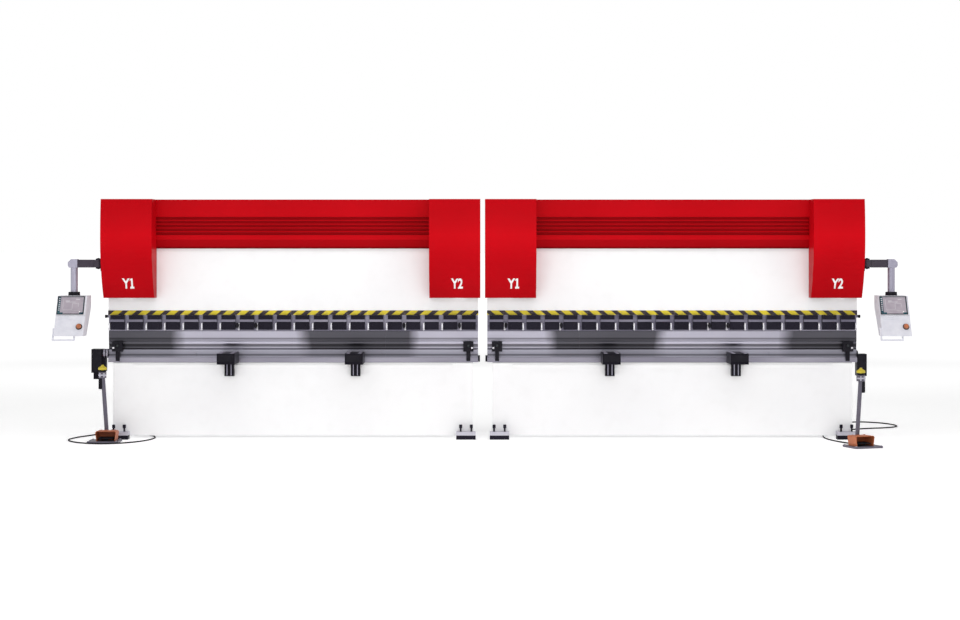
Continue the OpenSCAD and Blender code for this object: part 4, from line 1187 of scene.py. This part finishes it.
def upScrew(name, place, radius, height):
    x, y, z = place
    piece = startRod(name, radius, (x, y, z), (x, y, z + height), 18)
    insetFaces(piece, toTop, radius * 0.45, -height * 0.5)
    return soften(piece, height * 0.2, 2)


def baseBolts():
    bolts = [upScrew("bolt", (x, y, 0.020), 0.010, 0.007) for x in (-0.145, 0.145) for y in (-0.118, 0.118)]
    return joined("BaseBolts", bolts)


def poleSocket():
    x, y = station["poleFoot"]
    ring = startRod("socket", 0.046, (x, y, 0.020), (x, y, 0.034), 36, 0.042)
    insetFaces(ring, toTop, 0.012, 0.016)
    return soften(ring, 0.002, 2)


def poleGrip():
    x, y = station["poleHead"]
    low = station["poleTop"] - 0.186
    grip = startBlock("grip", (x - 0.001, y - 0.022, low), (x + 0.040, y + 0.022, low + 0.112))
    cutAlong(grip, (0, 0, 1), 13)
    middle = Vector((x + 0.0195, y))
    for spot in grip.data.vertices:
        level = round((spot.co.z - low) / 0.008)
        pull = 0.93 if level % 2 else 1.0
        spot.co.x = middle.x + (spot.co.x - middle.x) * pull
        spot.co.y = middle.y + (spot.co.y - middle.y) * pull
    return soften(grip, 0.0016, 2)


def stopCollar():
    x, y = station["poleHead"]
    top = station["poleTop"]
    collar = startRod("collar", 0.040, (x, y, top - 0.005), (x, y, top + 0.0112), 40, 0.037)
    insetFaces(collar, toTop, 0.006, -0.0012)
    return soften(collar, 0.0015, 2)


def headClamp():
    x, y = station["poleHead"]
    top = station["poleTop"]
    parts = []
    for across in (-0.022, 0.022):
        for height in (top - 0.022, top - 0.054):
            bolt = socketScrew("headBolt", (x + across, y - 0.030, height), 0.0085, 0.008)
            parts.append(soften(bolt, 0.001, 1))
    strap = startBlock("strap", (x - 0.0385, y - 0.0325, top - 0.045), (x + 0.0385, y + 0.0325, top - 0.031))
    insetFaces(strap, toFront, 0.003, -0.0015)
    parts.append(soften(strap, 0.0015, 2))
    return joined("HeadClamp", parts)


def hoodTrim():
    # folded lip round the mouth and the fixing bolts through the roof
    x = station["hood"]
    parts = []
    for across in (-0.07, 0.07):
        parts.append(upScrew("hoodBolt", (x + across, 0.035, 0.125), 0.009, 0.0055))
    lip = startBlock("lip", (x - 0.098, -0.1035, 0.1215), (x + 0.098, -0.0965, 0.1285))
    insetFaces(lip, toFront, 0.0015, -0.0008)
    parts.append(soften(lip, 0.002, 2))
    return joined("HoodTrim", parts)


for make, name, body, material, slot in (
        (treadRibs, "TreadRibs", "treadle_body", blackPlastic, "black_plastic"),
        (baseBolts, "BaseBolts", "frame", footSteel, "bright_steel"),
        (poleSocket, "PoleSocket", "frame", greyPaint, "grey_paint"),
        (poleGrip, "PoleGrip", "frame", blackPlastic, "black_plastic"),
        (stopCollar, "StopCollar", "frame", blackPlastic, "black_plastic"),
        (headClamp, "HeadClamp", "frame", footSteel, "bright_steel"),
        (hoodTrim, "HoodTrim", "frame", orangePaint, "orange_paint")):
    fitStations(make(), name, body, material)
print("pedal stations detailed")


# Rear of the machines: tank fittings, pump motor, pipes, cabinets and back gauge

def turnedCopies(piece, name, centre, axis, count):
    shift = Matrix.Translation(Vector(centre))
    turns = [Matrix.Rotation(2 * math.pi * step / count, 4, axis) for step in range(count)]
    copies = [copyOf(piece, name, shift @ turn @ shift.inverted()) for turn in turns]
    bpy.data.objects.remove(piece)
    return joined(name, copies)


def hexBolt(name, place, direction, radius, height):
    # washer and chamfered head
    place, direction = Vector(place), Vector(direction)
    washer = startRod(name + "Washer", radius * 1.35, place, place + direction * height * 0.25, 18)
    insetFaces(washer, facing(direction), radius * 0.2, 0.0003)
    head = startRod(name, radius, place + direction * height * 0.2, place + direction * height, 6,
                    radius * 0.96)
    insetFaces(head, facing(direction), radius * 0.25, height * 0.06)
    return joined(name, [washer, head])


tank = {"rear": 0.36, "bottom": 2.16, "top": 2.46, "hatches": (1.05, 3.05), "hatchRadius": 0.105,
        "gauge": 0.70, "breather": 0.48}


def tankHatch(x):
    y, z = tank["rear"], (tank["bottom"] + tank["top"]) / 2
    plate = startRod("hatch", tank["hatchRadius"], (x, y, z), (x, y + 0.009, z), 48)
    insetFaces(plate, toRear, 0.034, 0.003)
    insetFaces(plate, lambda face: face.normal.y > 0.9 and face.area > 0.01, 0.02, -0.002)
    bolts = turnedCopies(hexBolt("hatchBolt", (x, y + 0.009, z + 0.088), (0, 1, 0), 0.009, 0.008),
                         "hatchBolts", (x, y, z), "Y", 10)
    return [soften(plate, 0.0015, 2), bolts]


def levelGauge():
    x, y = tank["gauge"], tank["rear"]
    frame = startBlock("gaugeFrame", (x - 0.021, y, 2.215), (x + 0.021, y + 0.020, 2.405))
    insetFaces(frame, toRear, 0.009, -0.012)
    tube = startRod("gaugeTube", 0.0085, (x, y + 0.013, 2.226), (x, y + 0.013, 2.394), 20)
    return [dress(soften(frame, 0.002, 2), blackPlastic),
            finished(tube, toTop, (0.002, 0.001), (0.001, 1), lensGlass)]


def breather():
    x, y = tank["breather"], tank["rear"]
    neck = startRod("neck", 0.021, (x, y, 2.30), (x, y + 0.060, 2.30), 24)
    insetFaces(neck, toRear, 0.006, 0.006)
    post = startRod("post", 0.016, (x, y + 0.042, 2.296), (x, y + 0.042, 2.375), 24)
    insetFaces(post, toUnder, 0.004, 0.004)
    cap = startRod("cap", 0.034, (x, y + 0.042, 2.366), (x, y + 0.042, 2.414), 30, 0.031)
    pick(cap, lambda face: abs(face.normal.z) < 0.5 and face.index % 2 == 0)
    bpy.ops.mesh.inset(thickness=0.0008, depth=-0.0016, use_individual=True)
    done()
    insetFaces(cap, toTop, 0.008, 0.003)
    return [dress(soften(neck, 0.001, 2), greyPaint), dress(soften(post, 0.001, 1), greyPaint),
            dress(soften(cap, 0.0015, 2), blackPlastic)]


hatches = joined("TankHatches", [part for x in tank["hatches"] for part in tankHatch(x)])
fitPair(hatches, "TankHatches", "frame", footSteel)
fitPair(joined("TankFittings", levelGauge() + breather()), "TankFittings", "frame", None)


def startRing(place, radius, thickness, sides, axis):
    # a smooth ring round the X or the Y axis
    turn = (0, math.radians(90), 0) if axis == "X" else (math.radians(90), 0, 0)
    bpy.ops.object.select_all(action="DESELECT")
    bpy.ops.mesh.primitive_torus_add(major_radius=radius, minor_radius=thickness, major_segments=sides[0],
                                     minor_segments=sides[1], location=place, rotation=turn)
    ring = settle(bpy.context.object)
    focus(ring)
    bpy.ops.object.shade_smooth()
    return ring


def weldBead(name, start, end, radius=0.006, ripple=0.16):
    # rippled bead along an inside corner
    start, end = Vector(start), Vector(end)
    bead = startRod(name, radius, start, end, 8)
    along = (end - start).normalized()
    cutAlong(bead, along, 59)
    for spot in bead.data.vertices:
        share = (spot.co - start).dot(along)
        out = spot.co - start - along * share
        spot.co += out * (ripple * math.sin(share * 420))
    focus(bead)
    bpy.ops.object.shade_smooth()
    return bead


beads = [weldBead("bead", (x, y, low), (x, y, high))
         for y, low, high in ((-0.045, 0.30, 0.80), (0.362, 2.162, 2.458)) for x in (0.292, 3.808)]
fitPair(joined("WeldBeads", beads), "WeldBeads", "frame", whitePaint)

motor = {"middle": 2.05, "y": 0.50, "z": 2.31, "radius": 0.110, "from": 1.872, "to": 2.228, "fins": 26}


def motorFins():
    top = motor["z"] + motor["radius"]
    fin = startBlock("fin", (motor["from"], motor["y"] - 0.0016, top - 0.003),
                     (motor["to"], motor["y"] + 0.0016, top + 0.0075))
    insetFaces(fin, toTop, 0.0004, 0.0006)
    fins = turnedCopies(fin, "fins", (0, motor["y"], motor["z"]), "X", motor["fins"])
    collars = []
    for x in (motor["from"] - 0.020, motor["to"]):
        collar = startRod("collar", 0.1185, (x, motor["y"], motor["z"]),
                          (x + 0.020, motor["y"], motor["z"]), 48)
        insetFaces(collar, endsOn("x"), 0.010, -0.0015, each=True)
        collars.append(soften(collar, 0.002, 2))
    return [dress(piece, greyPaint) for piece in [fins, *collars]]


def fanCowl():
    y, z, wire = motor["y"], motor["z"], 0.0022
    parts = [startRing((1.7985, y, z), radius, wire, (36, 6), "X")
             for radius in (0.100, 0.080, 0.060, 0.040, 0.020)]
    spoke = startRod("spoke", wire, (1.7975, y, z), (1.7975, y, z + 0.108), 8)
    insetFaces(spoke, toTop, 0.0005, 0.0004)
    parts.append(turnedCopies(spoke, "spokes", (0, y, z), "X", 6))
    return [dress(part, darkPaint) for part in parts]


def terminalBox():
    x, y, z = motor["middle"] - 0.06, motor["y"] + 0.020, motor["z"] + 0.100
    body = startBlock("box", (x - 0.055, y - 0.045, z - 0.010), (x + 0.055, y + 0.045, z + 0.040))
    insetFaces(body, toTop, 0.004, -0.002)
    lid = startBlock("lid", (x - 0.058, y - 0.048, z + 0.038), (x + 0.058, y + 0.048, z + 0.050))
    insetFaces(lid, toTop, 0.010, 0.003)
    gland = startRod("gland", 0.013, (x - 0.056, y, z + 0.012), (x - 0.082, y, z + 0.012), 6, 0.011)
    insetFaces(gland, toLeft, 0.003, -0.004)
    return [dress(soften(body, 0.003, 2), greyPaint), dress(soften(lid, 0.003, 2), greyPaint),
            dress(gland, blackPlastic)]


def ratingPlate():
    x, y, z = motor["middle"] + 0.09, motor["y"] + motor["radius"] + 0.0065, motor["z"]
    plate = startBlock("plate", (x - 0.035, y - 0.003, z - 0.022), (x + 0.035, y + 0.0012, z + 0.022))
    return finished(plate, toRear, (0.004, -0.0006), (0.0006, 1), leverSteel)


fitPair(joined("MotorFins", motorFins() + fanCowl() + terminalBox() + [ratingPlate()]), "MotorFins", "frame",
        None)

# Rigid pipes from the pump to fittings on the side frames
pipework = {"radius": 0.011, "bend": 0.045, "y": 0.388, "height": 2.186, "pump": (0.500, 2.300),
            "runs": ((2.400, 3.808), (2.350, 0.292)), "clamps": (0.60, 1.30, 2.75, 3.45)}


def pipeRun(start, end):
    y, z, bend = pipework["y"], pipework["height"], pipework["bend"]
    behind, above = pipework["pump"]
    points = [Vector(point) for point in (
        (start, behind, above), (start, behind, z), (start, y, z), (end, y, z))]
    path = [points[0]]
    for before, corner, after in zip(points, points[1:], points[2:]):
        into, out = (before - corner).normalized(), (after - corner).normalized()
        for step in range(7):
            share = step / 6
            path.append((corner + into * bend) * (1 - share) ** 2 + corner * 2 * share * (1 - share)
                        + (corner + out * bend) * share ** 2)
    path.append(points[-1])
    curve = bpy.data.curves.new("pipe", "CURVE")
    curve.dimensions = "3D"
    curve.bevel_depth, curve.bevel_resolution, curve.use_fill_caps = pipework["radius"], 3, True
    line = curve.splines.new("POLY")
    line.points.add(len(path) - 1)
    for knot, place in zip(line.points, path):
        knot.co = (*place, 1)
    pipe = bpy.data.objects.new("pipe", curve)
    bpy.context.scene.collection.objects.link(pipe)
    focus(pipe)
    bpy.ops.object.convert(target="MESH")
    bpy.ops.object.shade_smooth_by_angle(angle=math.radians(50))
    return bpy.context.object


def pipeFitting(x, inward):
    y, z = pipework["y"], pipework["height"]
    nut = startRod("nut", 0.020, (x + inward * 0.014, y, z), (x + inward * 0.040, y, z), 6, 0.019)
    insetFaces(nut, endsOn("x"), 0.003, 0.001, each=True)
    flange = startRod("flange", 0.026, (x, y, z), (x + inward * 0.016, y, z), 24)
    insetFaces(flange, endsOn("x"), 0.005, -0.001, each=True)
    return [soften(nut, 0.0008, 1), soften(flange, 0.001, 1)]


def pipeClamp(x):
    y, z = pipework["y"], pipework["height"]
    clamp = startBlock("clamp", (x - 0.018, 0.358, z - 0.020), (x + 0.018, y + 0.018, z + 0.020))
    insetFaces(clamp, endsOn("x"), 0.006, -0.002, each=True)
    return [soften(clamp, 0.002, 2), hexBolt("clampBolt", (x, y + 0.018, z), (0, 1, 0), 0.006, 0.005)]


pipes = [pipeRun(start, end) for start, end in pipework["runs"]]
fitPair(joined("OilPipes", pipes + pipeFitting(3.810, -1) + pipeFitting(0.290, 1)),
        "OilPipes", "frame", chrome)
clamps = joined("PipeClamps", [part for x in pipework["clamps"] for part in pipeClamp(x)])
fitPair(clamps, "PipeClamps", "frame", blackPlastic)
print("tank, motor and pipes detailed")


cabinet = {"left": 3.45, "right": 4.05, "door": 1.190, "top": 1.9, "eyeLine": 0.977, "eyes": (3.55, 3.95),
           "vents": (0.26, 1.56), "slats": 7, "filterSlats": 9}


def cabinetDoorTrim():
    face = cabinet["door"]
    panel = startBlock("panel", (3.515, face - 0.0005, 0.17), (3.995, face + 0.0022, 1.83))
    parts = [finished(panel, toRear, (0.012, -0.0014), (0.001, 2), whitePaint)]
    for low in cabinet["vents"]:
        rim = startBlock("rim", (3.60, face, low - 0.012), (3.91, face + 0.006, low + 0.208))
        parts.append(finished(rim, toRear, (0.010, -0.0045), (0.0015, 2), greyPaint))
        slat = startBlock("slat", (3.612, face + 0.001, low + 0.004), (3.898, face + 0.0075, low + 0.016))
        pick(slat, lambda a, b: min(a.y, b.y) > face + 0.006 and min(a.z, b.z) > low + 0.012, "EDGE")
        bpy.ops.transform.translate(value=(0, -0.005, 0))
        done()
        slats = repeated(slat, "slats", [(0, 0, step * 0.0275) for step in range(cabinet["slats"])])
        parts.append(dress(slats, greyPaint))
    seat = startBlock("seat", (3.720, face, 1.335), (3.790, face + 0.006, 1.405))
    parts.append(finished(seat, toRear, (0.006, 0.002), (0.0015, 2), yellowPlastic))
    dial = startRod("dial", 0.024, (3.755, face + 0.007, 1.370), (3.755, face + 0.019, 1.370), 32, 0.022)
    insetFaces(dial, toRear, 0.004, -0.001)
    grip = startBlock("grip", (3.749, face + 0.017, 1.345), (3.761, face + 0.030, 1.395))
    parts += [dress(soften(dial, 0.001, 2), redPaint),
              finished(grip, toRear, (0.002, 0.001), (0.0015, 2), redPaint)]
    lock = startRod("lock", 0.013, (3.491, face, 1.160), (3.491, face + 0.007, 1.160), 28)
    parts.append(finished(lock, toRear, (0.005, -0.003), (0.001, 2), chrome))
    return joined("DoorTrim", parts)


def cabinetTrim():
    parts = []
    for x in cabinet["eyes"]:
        y, top = cabinet["eyeLine"], cabinet["top"]
        eye = startRing((x, y, top + 0.026), 0.022, 0.006, (28, 10), "Y")
        foot = startRod("eyeFoot", 0.017, (x, y, top), (x, y, top + 0.010), 24, 0.013)
        parts += [dress(eye, footSteel), finished(foot, toTop, (0.004, 0.001), (0.001, 1), footSteel)]
    plinth = startBlock("plinth", (3.455, 1.164, 0.004), (4.045, 1.1675, 0.094))
    parts.append(finished(plinth, toRear, (0.006, -0.001), (0.001, 1), greyPaint))
    for x, outward in ((cabinet["left"], -1), (cabinet["right"], 1)):
        low, high = sorted((x, x + outward * 0.010))
        filterRim = startBlock("filter", (low, 0.880, 1.500), (high, 1.080, 1.700))
        insetFaces(filterRim, facing((outward, 0, 0)), 0.014, -0.006)
        slat = startBlock("slat", (low + 0.001, 0.896, 1.520), (high - 0.001, 1.064, 1.528))
        insetFaces(slat, facing((outward, 0, 0)), 0.001, -0.0005)
        slats = repeated(slat, "slats", [(0, 0, step * 0.019) for step in range(cabinet["filterSlats"])])
        parts += [dress(soften(filterRim, 0.002, 2), blackPlastic), dress(slats, blackPlastic)]
    # trunking for the cables from the cabinet's top up to the tank
    riser = startBlock("riser", (3.700, 0.800, 1.899), (3.780, 0.860, 2.400))
    run = startBlock("run", (3.700, 0.359, 2.340), (3.780, 0.801, 2.400))
    insetFaces(riser, toRear, 0.006, -0.0015)
    parts += [dress(soften(riser, 0.002, 2), greyPaint),
              finished(run, toTop, (0.006, -0.0015), (0.002, 2), greyPaint)]
    return joined("CabinetTrim", parts)


fitPair(cabinetDoorTrim(), "DoorTrim", "cabinet_door_body", None)
fitPair(cabinetTrim(), "CabinetTrim", "frame", None)

# Bolts through the side frames, the ram's rear face and the bed
boltSizes = {"frame": (0.014, 0.012), "row": (0.011, 0.009), "rowStart": 0.45, "rowPitch": 0.2, "rowCount": 17,
             "leftOutOfBed": (2, 14)}
frameBolts = [
    hexBolt("frameBolt", (x, y, z), (outward, 0, 0), *boltSizes["frame"])
    for walls, rows, heights in (
        (((3.89, 1), (0.21, -1)), (0.11, 0.31), (2.21, 2.31, 2.41)),
        (((3.81, -1), (0.29, 1)), (0.70, 0.76), (0.14, 0.22)))
    for x, outward in walls for y in rows for z in heights]
fitPair(joined("FrameBolts", frameBolts), "FrameBolts", "frame", darkSteel)


def boltRow(name, y, z, missing=()):
    bolt = hexBolt("rowBolt", (boltSizes["rowStart"], y, z), (0, 1, 0), *boltSizes["row"])
    return repeated(bolt, name, [(index * boltSizes["rowPitch"], 0, 0)
                                 for index in range(boltSizes["rowCount"]) if index not in missing])


fitPair(boltRow("RamBolts", 0.02, 1.372), "RamBolts", "ram_body", darkSteel)
fitPair(boltRow("BedBolts", -0.05, 0.770, boltSizes["leftOutOfBed"]), "BedBolts", "frame", darkSteel)


def bedTrunking():
    # lidded cable trunking along the bed, with saddles
    duct = startBlock("duct", (0.36, -0.051, 0.180), (3.74, 0.004, 0.240))
    parts = [finished(duct, toRear, (0.005, -0.0015), (0.002, 2), greyPaint)]
    saddle = startBlock("saddle", (0.60, -0.0505, 0.174), (0.63, 0.0075, 0.246))
    insetFaces(saddle, toRear, 0.004, -0.001)
    saddles = repeated(soften(saddle, 0.001, 1), "saddles", [(index * 0.58, 0, 0) for index in range(6)])
    parts.append(dress(saddles, footSteel))
    return joined("BedTrunking", parts)


fitPair(bedTrunking(), "BedTrunking", "frame", None)


# Back gauge: slide rails, end plates and drive motor on the beam

gauge = {"rear": 0.33, "low": 0.80, "from": 0.80, "to": 3.30, "fingers": {"Outer": 2.75, "Inner": 1.35}}


def gaugeTrim():
    parts = []
    for z in (gauge["low"] + 0.0005, gauge["low"] + 0.016):
        rail = startBlock("rail", (gauge["from"] + 0.02, gauge["rear"], z),
                          (gauge["to"] - 0.02, gauge["rear"] + 0.0035, z + 0.008))
        insetFaces(rail, toRear, 0.002, -0.001)
        parts.append(dress(rail, chrome))
    for x in (gauge["from"], gauge["to"]):
        low, high = (x - 0.006, x) if x < 2 else (x, x + 0.006)
        plate = startBlock("endPlate", (low, 0.262, 0.752), (high, 0.338, 0.898))
        parts.append(finished(plate, endsOn("x"), (0.008, -0.001), (0.001, 2), darkPaint, each=True))
    drive = startBlock("drive", (3.306, 0.275, 0.765), (3.430, 0.325, 0.830))
    insetFaces(drive, endsOn("x"), 0.008, -0.002, each=True)
    plug = startRod("plug", 0.012, (3.400, 0.300, 0.829), (3.400, 0.300, 0.862), 20, 0.010)
    parts += [dress(soften(drive, 0.004, 2), blackPlastic),
              finished(plug, toTop, (0.003, -0.003), (0.001, 1), blackPlastic)]
    return joined("GaugeTrim", parts)


fitPair(gaugeTrim(), "GaugeTrim", "gauge_beam_body", None)

for place, x in gauge["fingers"].items():
    knob = startRod("knob", 0.014, (x, 0.345, 0.865), (x, 0.362, 0.865), 24, 0.012)
    pick(knob, lambda face: abs(face.normal.y) < 0.5 and face.index % 2 == 0)
    bpy.ops.mesh.inset(thickness=0.0004, depth=-0.0010, use_individual=True)
    done()
    insetFaces(knob, toRear, 0.003, -0.001)
    tips = startBlock("tip", (x - 0.022, 0.0395, 0.9645), (x + 0.022, 0.046, 0.9845))
    insetFaces(tips, toFront, 0.003, -0.0008)
    trim = joined(place + "FingerTrim", [soften(knob, 0.001, 1), soften(tips, 0.001, 1)])
    fitPair(trim, place + "FingerTrim", place.lower() + "_finger_body", darkSteel)
print("cabinets, back gauge and bolts detailed")
